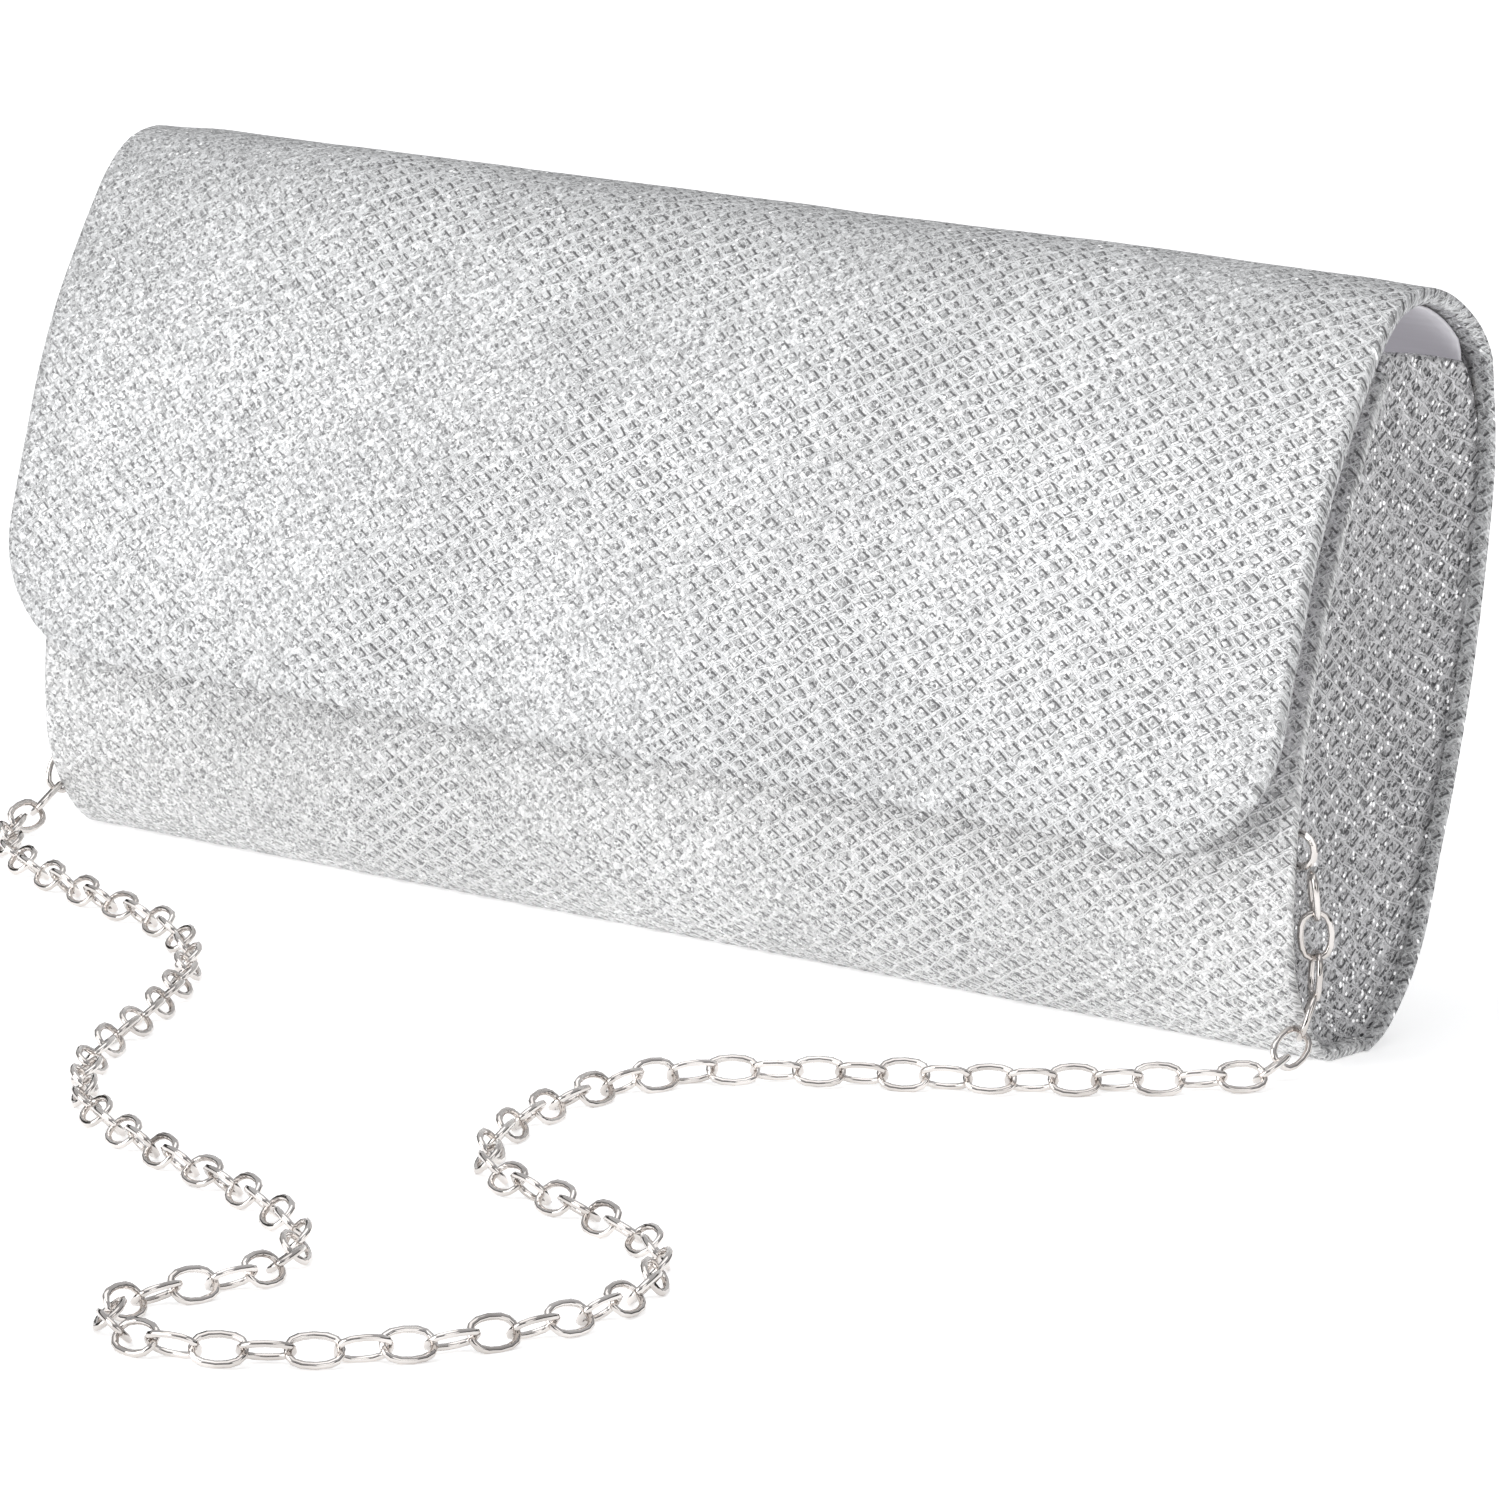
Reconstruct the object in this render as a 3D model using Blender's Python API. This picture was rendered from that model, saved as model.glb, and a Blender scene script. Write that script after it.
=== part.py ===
"""Evening bag: a small structured clutch with a fold-over flap, gussets, a magnetic snap and a chain.

X runs along the bag, -Y is the front, +Z is up. The origin is the bottom centre of the bag on the table.
Profiles are (y, z) points in millimetres and are swept along X; every object is made in metres.
"""

import math

import bmesh
import bpy
from mathutils import Matrix, Vector

MM = 0.001
GAP = 0.3

# Overall sizes, mm
HALF_WIDTH = 125.0
FLAP_LEFT = -128.2
FLAP_RIGHT = 125.5
FLAP_CORNER_R = 20.0

# Thickness of each layer, mm
CLOTH = 1.0
BOARD = 1.5
LINING = 0.6
FLAP_THICK = 3.3
FLAP_BOARD = 1.1
HEM = 4.5

# Reach of the hidden cutting tools past the bag, mm
CUT_DEPTH = 60.0
CUT_TOP = 130.0
SIDE_MARGIN = 1.0
WELL_DEEPER = 2.0
SKIN = 0.01

# How far the gusset sits in from the panels' side edges, mm
GUSSET_INSET = 1.8
GUSSET_FACE = HALF_WIDTH - GUSSET_INSET
BOARD_HALF = GUSSET_FACE - CLOTH - GAP
LINING_HALF = BOARD_HALF - LINING - GAP

# Layer depths measured in from the outer face of a body panel, mm
BOARD_IN = CLOTH + GAP
BOARD_OUT = BOARD_IN + BOARD
LINING_IN = BOARD_OUT + GAP
LINING_OUT = LINING_IN + LINING
MOUTH_HEM = 5.0
BASE_BAND = 6.0

# Front panel, from the mouth down to the base seam
FRONT_LINE = [
    (-1.1, 102.4), (-4.4, 96.3), (-8.1, 88.5), (-11.6, 80.0), (-14.8, 71.0), (-17.6, 61.5),
    (-19.7, 52.0), (-21.0, 43.0), (-21.6, 36.0), (-22.0, 29.0), (-22.0, 22.0), (-21.5, 16.5),
    (-20.1, 11.5), (-17.8, 7.0), (-14.8, 3.0), (-11.5, 0.4), (-10.0, 0.0),
]
# Back panel, from the base seam up to the flap fold
BACK_LINE = [
    (-1.0, 0.0), (3.2, 1.9), (7.2, 5.8), (10.5, 10.2), (13.0, 15.2), (14.9, 21.0), (16.6, 27.5),
    (18.5, 33.5), (20.7, 41.5), (22.8, 50.0), (24.4, 58.0), (25.8, 67.0), (27.0, 76.0),
    (27.7, 84.0), (27.5, 91.0), (26.9, 96.0), (26.4, 99.4),
]
# Inner face of the closed flap, from its front edge over the top to the fold
FLAP_LINE = [
    (-26.7, 32.3), (-26.3, 36.5), (-25.6, 42.0), (-24.3, 49.3), (-22.4, 57.0), (-19.9, 66.0),
    (-17.0, 76.0), (-13.0, 86.0), (-9.0, 93.6), (-4.9, 100.6), (-1.3, 106.0), (3.0, 109.8),
    (8.0, 110.8), (12.8, 109.7), (16.8, 107.6), (20.2, 104.9), (22.3, 102.2), (23.2, 100.2),
]
# Top edge of each gusset, front to back
GUSSET_TOP = [(0.6, 103.6), (8.0, 102.6), (15.0, 101.4), (21.4, 100.4)]

# The fold between the back panel and the flap: the hinge axis
HINGE_Y = 26.5
HINGE_Z = 99.8

# Magnetic snap, mm
SNAP_Z = 46.0
SNAP_TILT = math.radians(9.5)
SNAP_FACE_Y = -20.6
SNAP_SPACE = 4.25
SOCKET_R = 7.0
SOCKET_H = 1.9
SOCKET_WALL = 0.4
SOCKET_WELL_R = 3.4
SNAP_BEVEL = 0.3
STUD_R = 6.0
STUD_BACK = 0.4
NOSE_R = 2.4
NOSE_H = 1.0
RIVET_R = 1.4
RIVET_HOLE_R = 1.8
PLATE_R = 7.0
PLATE_H = 0.5
STUD_PLATE_R = 5.5
STUD_PLATE_H = 0.4

# Inside slip pocket on the back wall, mm
POCKET_HALF = 60.0
POCKET_LOW = 26.0
POCKET_HIGH = 84.0
POCKET_CLOTH = 0.7

# Wire loops that hold the chain, mm
LOOP_WIRE_R = 0.6
LOOP_R = 2.5
LOOP_Y = -18.7
LOOP_Z = 33.5
LOOP_LEG = 0.8

# Link chain as one round cord, mm
CHAIN_R = 2.0
CHAIN_LOOSE = [
    (126.5, -18.3, 29.8), (127.3, -16.6, 19.5), (128.6, -17.0, 10.5), (128.8, -22.0, 4.2),
    (126.8, -32.0, 2.0), (118.0, -43.0, 2.0), (100.0, -59.5, 2.0), (78.0, -73.0, 2.0),
    (63.5, -87.0, 2.0), (61.0, -107.0, 2.0), (66.5, -130.0, 2.0), (79.0, -148.5, 2.0),
    (101.0, -157.0, 2.0), (122.0, -166.0, 2.0), (135.0, -182.0, 2.0), (138.0, -202.0, 2.0),
    (131.0, -226.0, 2.0), (117.0, -242.0, 2.0), (102.0, -247.0, 2.0), (90.5, -239.0, 2.0),
    (90.0, -225.0, 2.0), (92.5, -210.0, 2.0), (84.0, -194.5, 2.0), (64.0, -182.0, 2.0),
    (38.0, -172.5, 2.0), (13.0, -159.5, 2.0), (-6.0, -138.0, 2.0), (-19.0, -112.0, 2.0),
    (-34.0, -87.0, 2.0), (-55.0, -68.0, 2.0), (-83.0, -58.0, 2.0), (-107.0, -47.0, 2.0),
    (-122.5, -32.5, 2.0), (-128.8, -21.0, 4.0), (-128.8, -14.8, 10.5), (-127.5, -14.8, 20.0),
    (-126.5, -18.3, 29.8),
]
CHAIN_POINTS = 78

# Base colour, roughness and metallic value of each stuff the bag is made of
COLOURS = {
    "silver_cloth": ((0.72, 0.73, 0.75, 1.0), 0.45, 0.55),
    "shade_cloth": ((0.60, 0.61, 0.64, 1.0), 0.45, 0.55),
    "stiffener": ((0.55, 0.52, 0.47, 1.0), 0.9, 0.0),
    "satin": ((0.50, 0.48, 0.53, 1.0), 0.4, 0.0),
    "nickel": ((0.80, 0.77, 0.74, 1.0), 0.15, 1.0),
    "magnet": ((0.25, 0.25, 0.27, 1.0), 0.5, 0.8),
}


def clear_scene():
    for item in list(bpy.data.objects):
        bpy.data.objects.remove(item, do_unlink=True)


def material(name, piece):
    """One Principled material per piece, coloured by what the piece is made of."""
    colour, roughness, metallic = COLOURS[name]
    made = bpy.data.materials.new(piece)
    made.use_nodes = True
    shader = made.node_tree.nodes["Principled BSDF"]
    shader.inputs["Base Color"].default_value = colour
    shader.inputs["Roughness"].default_value = roughness
    shader.inputs["Metallic"].default_value = metallic
    made.diffuse_color = colour
    return made


def add_object(name, mesh_bm, stuff):
    """Turn a bmesh into a named object with its own material."""
    bmesh.ops.recalc_face_normals(mesh_bm, faces=mesh_bm.faces)
    mesh = bpy.data.meshes.new(name)
    mesh_bm.to_mesh(mesh)
    mesh_bm.free()
    made = bpy.data.objects.new(name, mesh)
    bpy.context.collection.objects.link(made)
    if stuff:
        mesh.materials.append(material(stuff, name))
    return made


def smooth_line(points, per_span):
    """A Catmull-Rom curve through the points, of any dimension, with a few samples in each span."""
    pts = [Vector(p) for p in points]
    first = pts[0] * 2 - pts[1]
    last = pts[-1] * 2 - pts[-2]
    pts = [first] + pts + [last]
    line = []
    for i in range(1, len(pts) - 2):
        p0, p1, p2, p3 = pts[i - 1], pts[i], pts[i + 1], pts[i + 2]
        for k in range(per_span):
            t = k / per_span
            a = p1 * 2
            b = (p2 - p0) * t
            c = (p0 * 2 - p1 * 5 + p2 * 4 - p3) * t * t
            d = (p1 * 3 - p0 - p2 * 3 + p3) * t * t * t
            line.append((a + b + c + d) * 0.5)
    line.append(pts[-2])
    return line


def even_line(points, count):
    """The same curve resampled at equal steps along its length."""
    fine = smooth_line(points, 24)
    at = [0.0]
    for a, b in zip(fine, fine[1:]):
        at.append(at[-1] + (b - a).length)
    line = []
    j = 0
    for k in range(count):
        want = at[-1] * k / (count - 1)
        while j < len(fine) - 2 and at[j + 1] < want:
            j += 1
        span = at[j + 1] - at[j]
        line.append(fine[j].lerp(fine[j + 1], (want - at[j]) / span))
    return line


def offset(line, depth, side):
    """Move a (y, z) line sideways: side 1 moves it to the left of its travel, -1 to the right."""
    moved = []
    for i, p in enumerate(line):
        before = line[max(i - 1, 0)]
        after = line[min(i + 1, len(line) - 1)]
        along = (after - before).normalized()
        left = Vector((-along.y, along.x))
        moved.append(p + left * depth * side)
    return moved


def trim(line, low, high):
    """Keep the part of a line whose height lies between two levels."""
    return [p for p in line if low <= p.y <= high]


def prism_x(name, outline, x_from, x_to, stuff):
    """Extrude a closed (y, z) outline along X."""
    mesh_bm = bmesh.new()
    ring = [mesh_bm.verts.new((x_from * MM, p[0] * MM, p[1] * MM)) for p in outline]
    face = mesh_bm.faces.new(ring)
    out = bmesh.ops.extrude_face_region(mesh_bm, geom=[face])
    moved = [v for v in out["geom"] if isinstance(v, bmesh.types.BMVert)]
    bmesh.ops.translate(mesh_bm, verts=moved, vec=((x_to - x_from) * MM, 0.0, 0.0))
    return add_object(name, mesh_bm, stuff)


def prism_y(name, outline, y_from, y_to, stuff):
    """Extrude a closed (x, z) outline along Y."""
    mesh_bm = bmesh.new()
    ring = [mesh_bm.verts.new((p[0] * MM, y_from * MM, p[1] * MM)) for p in outline]
    face = mesh_bm.faces.new(ring)
    out = bmesh.ops.extrude_face_region(mesh_bm, geom=[face])
    moved = [v for v in out["geom"] if isinstance(v, bmesh.types.BMVert)]
    bmesh.ops.translate(mesh_bm, verts=moved, vec=(0.0, (y_to - y_from) * MM, 0.0))
    return add_object(name, mesh_bm, stuff)


def layer(line, near, far, side):
    """Closed outline of one layer of a wall, between two depths from the line."""
    return offset(line, near, side) + list(reversed(offset(line, far, side)))


def base_strip(front, back, low, high):
    """(y, z) outline of a flat strip that fits between the lower ends of the front and the back layers."""
    near_front = [p for depth in (low, high) for p in offset(front, depth, 1) if p.y < BASE_BAND]
    near_back = [p for depth in (low, high) for p in offset(back, depth, 1) if p.y < BASE_BAND]
    y0 = max(p.x for p in near_front) + GAP
    y1 = min(p.x for p in near_back) - GAP
    return [(y0, low), (y1, low), (y1, high), (y0, high)]


def turned(name, profile, stuff, place, steps=32):
    """Spin an (r, h) profile a full turn about the local Z axis, then place it."""
    mesh_bm = bmesh.new()
    ring = [mesh_bm.verts.new((r * MM, 0.0, h * MM)) for r, h in profile]
    edges = [mesh_bm.edges.new((a, b)) for a, b in zip(ring, ring[1:])]
    if min(r for r, _ in profile) > 0.0:
        edges.append(mesh_bm.edges.new((ring[-1], ring[0])))
    bmesh.ops.spin(
        mesh_bm,
        geom=ring + edges,
        cent=(0.0, 0.0, 0.0),
        axis=(0.0, 0.0, 1.0),
        angle=math.tau,
        steps=steps,
        use_merge=True,
    )
    bmesh.ops.remove_doubles(mesh_bm, verts=mesh_bm.verts, dist=0.00001)
    made = add_object(name, mesh_bm, stuff)
    made.data.shade_smooth()
    made.data.set_sharp_from_angle(angle=math.radians(35.0))
    made.matrix_world = place
    return made


def wire(name, points, radius, sides, stuff):
    """A round wire or cord along the points, with filled ends."""
    curve = bpy.data.curves.new(name, "CURVE")
    curve.dimensions = "3D"
    curve.bevel_depth = radius * MM
    curve.bevel_resolution = sides
    curve.use_fill_caps = True
    spline = curve.splines.new("POLY")
    spline.points.add(len(points) - 1)
    for dot, p in zip(spline.points, points):
        dot.co = (p[0] * MM, p[1] * MM, p[2] * MM, 1.0)
    curve.materials.append(material(stuff, name))
    made = bpy.data.objects.new(name, curve)
    bpy.context.collection.objects.link(made)
    return made


def as_cutter(made):
    made.hide_render = True
    made.display_type = "WIRE"
    return made


def combine(target, tool, operation):
    """Boolean a hidden tool into a piece."""
    step = target.modifiers.new(tool.name, "BOOLEAN")
    step.operation = operation
    step.solver = "EXACT"
    step.object = tool


def rounded_front(x_low, x_high, z_low, z_high, radius, steps=10):
    """(x, z) outline, square at the top, with two rounded lower corners."""
    outline = [(x_high, z_high), (x_low, z_high)]
    for k in range(steps + 1):
        a = math.pi + math.pi / 2 * k / steps
        outline.append((x_low + radius + radius * math.cos(a), z_low + radius + radius * math.sin(a)))
    for k in range(steps + 1):
        a = math.pi * 1.5 + math.pi / 2 * k / steps
        outline.append((x_high - radius + radius * math.cos(a), z_low + radius + radius * math.sin(a)))
    return outline


def snap_place():
    """Frame of the snap: Z points straight out of the front panel, origin on its face."""
    spot = Vector((0.0, SNAP_FACE_Y * MM, SNAP_Z * MM))
    turn = Matrix.Rotation(math.pi / 2 - SNAP_TILT, 4, "X")
    return Matrix.Translation(spot) @ turn


def build_body(front, back):
    """Outer panels, stiffener boards and satin lining of the bag's body."""
    # Front panel: the cloth turns in over the mouth, so its top edge is as thick as the whole wall.
    hem_low = front[0].y - MOUTH_HEM
    panel = prism_x("front_panel", layer(front, 0.0, CLOTH, 1), -HALF_WIDTH, HALF_WIDTH, "silver_cloth")
    turn_in = layer(trim(front, hem_low, front[0].y), CLOTH / 2, LINING_OUT, 1)
    hem = as_cutter(prism_x("mouth_hem", turn_in, -LINING_HALF, LINING_HALF, None))
    combine(panel, hem, "UNION")

    below_hem = trim(front, -1.0, hem_low - GAP)
    board_front = below_hem[:-1]
    front_board = layer(board_front, BOARD_IN, BOARD_OUT, 1)
    board = prism_x("front_board", front_board, -BOARD_HALF, BOARD_HALF, "stiffener")
    prism_x("front_lining", layer(board_front, LINING_IN, LINING_OUT, 1), -LINING_HALF, LINING_HALF, "satin")

    prism_x("back_panel", layer(back, 0.0, CLOTH, 1), -HALF_WIDTH, HALF_WIDTH, "silver_cloth")
    board_back = back[1:-1]
    prism_x("back_board", layer(board_back, BOARD_IN, BOARD_OUT, 1), -BOARD_HALF, BOARD_HALF, "stiffener")
    prism_x("back_lining", layer(board_back, LINING_IN, LINING_OUT, 1), -LINING_HALF, LINING_HALF, "satin")

    pocket_line = trim(back, POCKET_LOW, POCKET_HIGH)
    pocket = layer(pocket_line, LINING_OUT + GAP, LINING_OUT + GAP + POCKET_CLOTH, 1)
    prism_x("slip_pocket", pocket, -POCKET_HALF, POCKET_HALF, "satin")

    # Base: a flat strip between the two seams, with its own board and lining.
    prism_x("base_panel", base_strip(front, back, 0.0, CLOTH), -HALF_WIDTH, HALF_WIDTH, "silver_cloth")
    board_base = base_strip(board_front, board_back, BOARD_IN, BOARD_OUT)
    prism_x("base_board", board_base, -BOARD_HALF, BOARD_HALF, "stiffener")
    lining_base = base_strip(board_front, board_back, LINING_IN, LINING_OUT)
    prism_x("base_lining", lining_base, -LINING_HALF, LINING_HALF, "satin")
    return board


def build_gussets(front, back):
    """Side walls: an outer cloth plate and its satin lining at each end."""
    top = smooth_line(GUSSET_TOP, 3)
    front_in = trim(offset(front, CLOTH + GAP, 1), -1.0, top[0].y)
    back_in = trim(offset(back, CLOTH + GAP, 1), -1.0, top[-1].y - 0.4)
    bottom = [Vector((front_in[-1].x, CLOTH + GAP)), Vector((back_in[0].x, CLOTH + GAP))]
    outline = front_in[:-1] + bottom + back_in[1:] + list(reversed(top))
    for side, word in ((-1, "left"), (1, "right")):
        a = side * (GUSSET_FACE - CLOTH)
        b = side * GUSSET_FACE
        prism_x("gusset_" + word, outline, min(a, b), max(a, b), "shade_cloth")

    low = LINING_OUT + GAP
    front_deep = trim(offset(front, low, 1), low, front[0].y - MOUTH_HEM)
    back_deep = trim(offset(back, low, 1), low, back[-1].y - 2.0)
    inside = front_deep + back_deep
    for side, word in ((-1, "left"), (1, "right")):
        a = side * BOARD_HALF
        b = side * (BOARD_HALF - LINING)
        prism_x("gusset_lining_" + word, inside, min(a, b), max(a, b), "satin")


def build_flap(line):
    """Flap: a cloth cover with turned-in edges, a board inside it and a satin lining in its underside."""
    cover = prism_x("flap_cover", layer(line, 0.0, FLAP_THICK, 1), FLAP_LEFT, FLAP_RIGHT, "silver_cloth")
    low = FLAP_LINE[0][1]
    edge = rounded_front(FLAP_LEFT, FLAP_RIGHT, low - SKIN, CUT_TOP, FLAP_CORNER_R)
    outline = as_cutter(prism_y("flap_outline", edge, -CUT_DEPTH, CUT_DEPTH, None))
    combine(cover, outline, "INTERSECT")

    # The well under the turned edges that takes the board and the lining.
    inner_line = line[3:-2]
    well_edge = rounded_front(
        FLAP_LEFT + HEM, FLAP_RIGHT - HEM, low + HEM, CUT_TOP, FLAP_CORNER_R - HEM
    )
    well_outline = as_cutter(prism_y("well_outline", well_edge, -CUT_DEPTH, CUT_DEPTH, None))
    side_low = FLAP_LEFT + SIDE_MARGIN
    side_high = FLAP_RIGHT - SIDE_MARGIN
    well_layer = layer(inner_line, -WELL_DEEPER, FLAP_THICK - CLOTH, 1)
    well = as_cutter(prism_x("flap_well", well_layer, side_low, side_high, None))
    combine(well, well_outline, "INTERSECT")
    combine(cover, well, "DIFFERENCE")

    fill_line = line[4:-3]
    fill_edge = rounded_front(
        FLAP_LEFT + HEM + GAP, FLAP_RIGHT - HEM - GAP, low + HEM + GAP, CUT_TOP, FLAP_CORNER_R - HEM - GAP
    )
    fill_outline = as_cutter(prism_y("fill_outline", fill_edge, -CUT_DEPTH, CUT_DEPTH, None))
    lining = prism_x("flap_lining", layer(fill_line, 0.0, LINING, 1), side_low, side_high, "satin")
    board_layer = layer(fill_line, LINING + GAP, FLAP_THICK - CLOTH - GAP, 1)
    board = prism_x("flap_board", board_layer, side_low, side_high, "stiffener")
    combine(lining, fill_outline, "INTERSECT")
    combine(board, fill_outline, "INTERSECT")
    return board, lining


def disc_cutter(name, place, radius, low, high):
    profile = [(0.0, low), (radius, low), (radius, high), (0.0, high)]
    return as_cutter(turned(name, profile, None, place, steps=24))


def build_snap(front_board, flap_board, flap_lining):
    """Magnetic snap: a socket on the front panel and a stud on the flap, each riveted to a back plate."""
    place = snap_place()
    panel = bpy.data.objects["front_panel"]
    back = GAP
    face = back + SOCKET_H
    well = back + SOCKET_WALL
    magnet_r = SOCKET_R - SOCKET_WALL
    inner_r = SOCKET_WELL_R + SOCKET_WALL
    plate_top = -(BOARD_OUT - PLATE_H)
    shank_end = plate_top + GAP

    # Socket case, open at the back, with the rivet on its middle.
    case = [
        (0.0, shank_end), (RIVET_R, shank_end), (RIVET_R, back), (inner_r, back), (inner_r, face - SOCKET_WALL),
        (magnet_r, face - SOCKET_WALL), (magnet_r, back), (SOCKET_R, back), (SOCKET_R, face - SNAP_BEVEL),
        (SOCKET_R - SNAP_BEVEL, face), (SOCKET_WELL_R, face), (SOCKET_WELL_R, well), (0.0, well),
    ]
    turned("snap_socket", case, "nickel", place)
    ring_high = face - SOCKET_WALL - GAP
    ring = [
        (inner_r + GAP, back), (magnet_r - GAP, back), (magnet_r - GAP, ring_high), (inner_r + GAP, ring_high),
    ]
    turned("snap_magnet", ring, "magnet", place)
    plate = [(0.0, plate_top - PLATE_H), (PLATE_R, plate_top - PLATE_H), (PLATE_R, plate_top), (0.0, plate_top)]
    turned("snap_socket_plate", plate, "nickel", place)

    hole = disc_cutter("socket_hole", place, RIVET_HOLE_R, -BOARD_OUT - 1.0, 2.0)
    combine(panel, hole, "DIFFERENCE")
    combine(front_board, hole, "DIFFERENCE")
    recess = disc_cutter("socket_recess", place, PLATE_R + GAP, -BOARD_OUT - 2.0, plate_top + GAP)
    combine(front_board, recess, "DIFFERENCE")

    # Stud on the flap, with its nose in the socket's well.
    low = face + GAP
    high = SNAP_SPACE - STUD_BACK
    plate_low = SNAP_SPACE + LINING + GAP + FLAP_BOARD - STUD_PLATE_H - 0.1
    plate_high = plate_low + STUD_PLATE_H
    stud = [
        (0.0, low - NOSE_H), (NOSE_R - SNAP_BEVEL, low - NOSE_H), (NOSE_R, low - NOSE_H + SNAP_BEVEL),
        (NOSE_R, low),
        (STUD_R, low), (STUD_R, high), (RIVET_R, high), (RIVET_R, plate_low - GAP), (0.0, plate_low - GAP),
    ]
    turned("snap_stud", stud, "nickel", place)
    stud_plate = [(0.0, plate_low), (STUD_PLATE_R, plate_low), (STUD_PLATE_R, plate_high), (0.0, plate_high)]
    turned("snap_stud_plate", stud_plate, "nickel", place)
    stud_hole = disc_cutter("stud_hole", place, RIVET_HOLE_R, high - 1.0, plate_high + 2.0)
    combine(flap_lining, stud_hole, "DIFFERENCE")
    combine(flap_board, stud_hole, "DIFFERENCE")
    stud_recess = disc_cutter("stud_recess", place, STUD_PLATE_R + GAP, plate_low - GAP, plate_low + 3.0)
    combine(flap_board, stud_recess, "DIFFERENCE")


def build_chain():
    """Two sewn-in wire loops and the loose chain between them."""
    steps = 8
    for side, word in ((-1, "left"), (1, "right")):
        start = GUSSET_FACE + GAP
        centre = start + LOOP_LEG
        points = [(side * start, LOOP_Y, LOOP_Z + LOOP_R)]
        for k in range(steps + 1):
            a = math.pi / 2 - math.pi * k / steps
            points.append((side * (centre + LOOP_R * math.cos(a)), LOOP_Y, LOOP_Z + LOOP_R * math.sin(a)))
        points.append((side * start, LOOP_Y, LOOP_Z - LOOP_R))
        wire("chain_loop_" + word, points, LOOP_WIRE_R, 3, "nickel")
    route = even_line(CHAIN_LOOSE, CHAIN_POINTS)
    for p in route:
        p.z = max(p.z, CHAIN_R)
    wire("chain", route, CHAIN_R, 2, "nickel")


def hang_on_hinge(names):
    """The flap's pieces turn about the fold, so they are parented to an empty on its axis."""
    pivot = bpy.data.objects.new("flap_pivot", None)
    bpy.context.collection.objects.link(pivot)
    pivot.location = (0.0, HINGE_Y * MM, HINGE_Z * MM)
    bpy.context.view_layer.update()
    for name in names:
        piece = bpy.data.objects[name]
        piece.parent = pivot
        piece.matrix_parent_inverse = pivot.matrix_world.inverted()


def main():
    clear_scene()
    front = smooth_line(FRONT_LINE, 3)
    back = smooth_line(BACK_LINE, 3)
    flap = smooth_line(FLAP_LINE, 3)
    front_board = build_body(front, back)
    build_gussets(front, back)
    flap_board, flap_lining = build_flap(flap)
    build_snap(front_board, flap_board, flap_lining)
    build_chain()
    hang_on_hinge(
        [
            "flap_cover", "flap_board", "flap_lining", "flap_outline", "flap_well", "well_outline",
            "fill_outline", "snap_stud", "snap_stud_plate", "stud_hole", "stud_recess",
        ]
    )


main()
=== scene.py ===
# %% [markdown]
# # A silver evening bag
# This lesson dresses a slim evening bag. The bag's solids are already built and packed: every panel,
# board and snap has its size, and the flap turns on a hinge at its fold. Here each soft piece is cut
# flat, hemmed and folded round the bag the way a bag maker does it, the chain is linked up link by
# link, and each surface gets its own finish.

# %% Load the bag's frame
import math
import random

import bmesh
import bpy
from mathutils import Matrix, Vector, noise


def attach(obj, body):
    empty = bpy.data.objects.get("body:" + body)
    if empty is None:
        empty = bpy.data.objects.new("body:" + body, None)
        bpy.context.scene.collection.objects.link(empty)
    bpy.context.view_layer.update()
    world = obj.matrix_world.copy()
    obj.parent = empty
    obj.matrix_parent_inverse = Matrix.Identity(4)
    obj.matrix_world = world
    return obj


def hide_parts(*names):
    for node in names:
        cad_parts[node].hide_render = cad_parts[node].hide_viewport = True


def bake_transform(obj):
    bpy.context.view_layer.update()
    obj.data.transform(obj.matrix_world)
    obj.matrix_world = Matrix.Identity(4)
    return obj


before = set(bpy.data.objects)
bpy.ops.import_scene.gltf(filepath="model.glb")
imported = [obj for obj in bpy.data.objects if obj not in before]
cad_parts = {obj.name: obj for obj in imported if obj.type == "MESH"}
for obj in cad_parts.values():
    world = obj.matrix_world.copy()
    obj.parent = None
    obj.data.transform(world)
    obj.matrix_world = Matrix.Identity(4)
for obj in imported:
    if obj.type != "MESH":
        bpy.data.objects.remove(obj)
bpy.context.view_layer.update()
MM = 0.001
UP = Vector((0, 0, 1))

# %% [markdown]
# ## Camera
# A product shot of a small bag is taken from a few steps back with a long lens, so the bag keeps its
# proportions. The camera looks at the middle of the picture, a little down on the bag, and from the
# right of its front, which shows the front, the top and one gusset.

# %% Camera
CAMERA_AT = Vector((0.8382, -1.0470, 0.3038))
LOOK_AT = Vector((0.0153, -0.0119, 0.0320))
CAMERA_ROLL = math.radians(1.0)
LENS_MM = 208.8

camera = bpy.data.cameras.new("camera")
camera.lens = LENS_MM
camera.sensor_width = 36.0
camera_object = bpy.data.objects.new("camera", camera)
bpy.context.collection.objects.link(camera_object)
camera_object.location = CAMERA_AT
aim = (LOOK_AT - CAMERA_AT).to_track_quat("-Z", "Y").to_matrix().to_4x4()
camera_object.rotation_euler = (aim @ Matrix.Rotation(CAMERA_ROLL, 4, "Z")).to_euler()
bpy.context.scene.camera = camera_object
print("camera", round((LOOK_AT - CAMERA_AT).length, 3), "m from the picture's middle")
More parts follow.
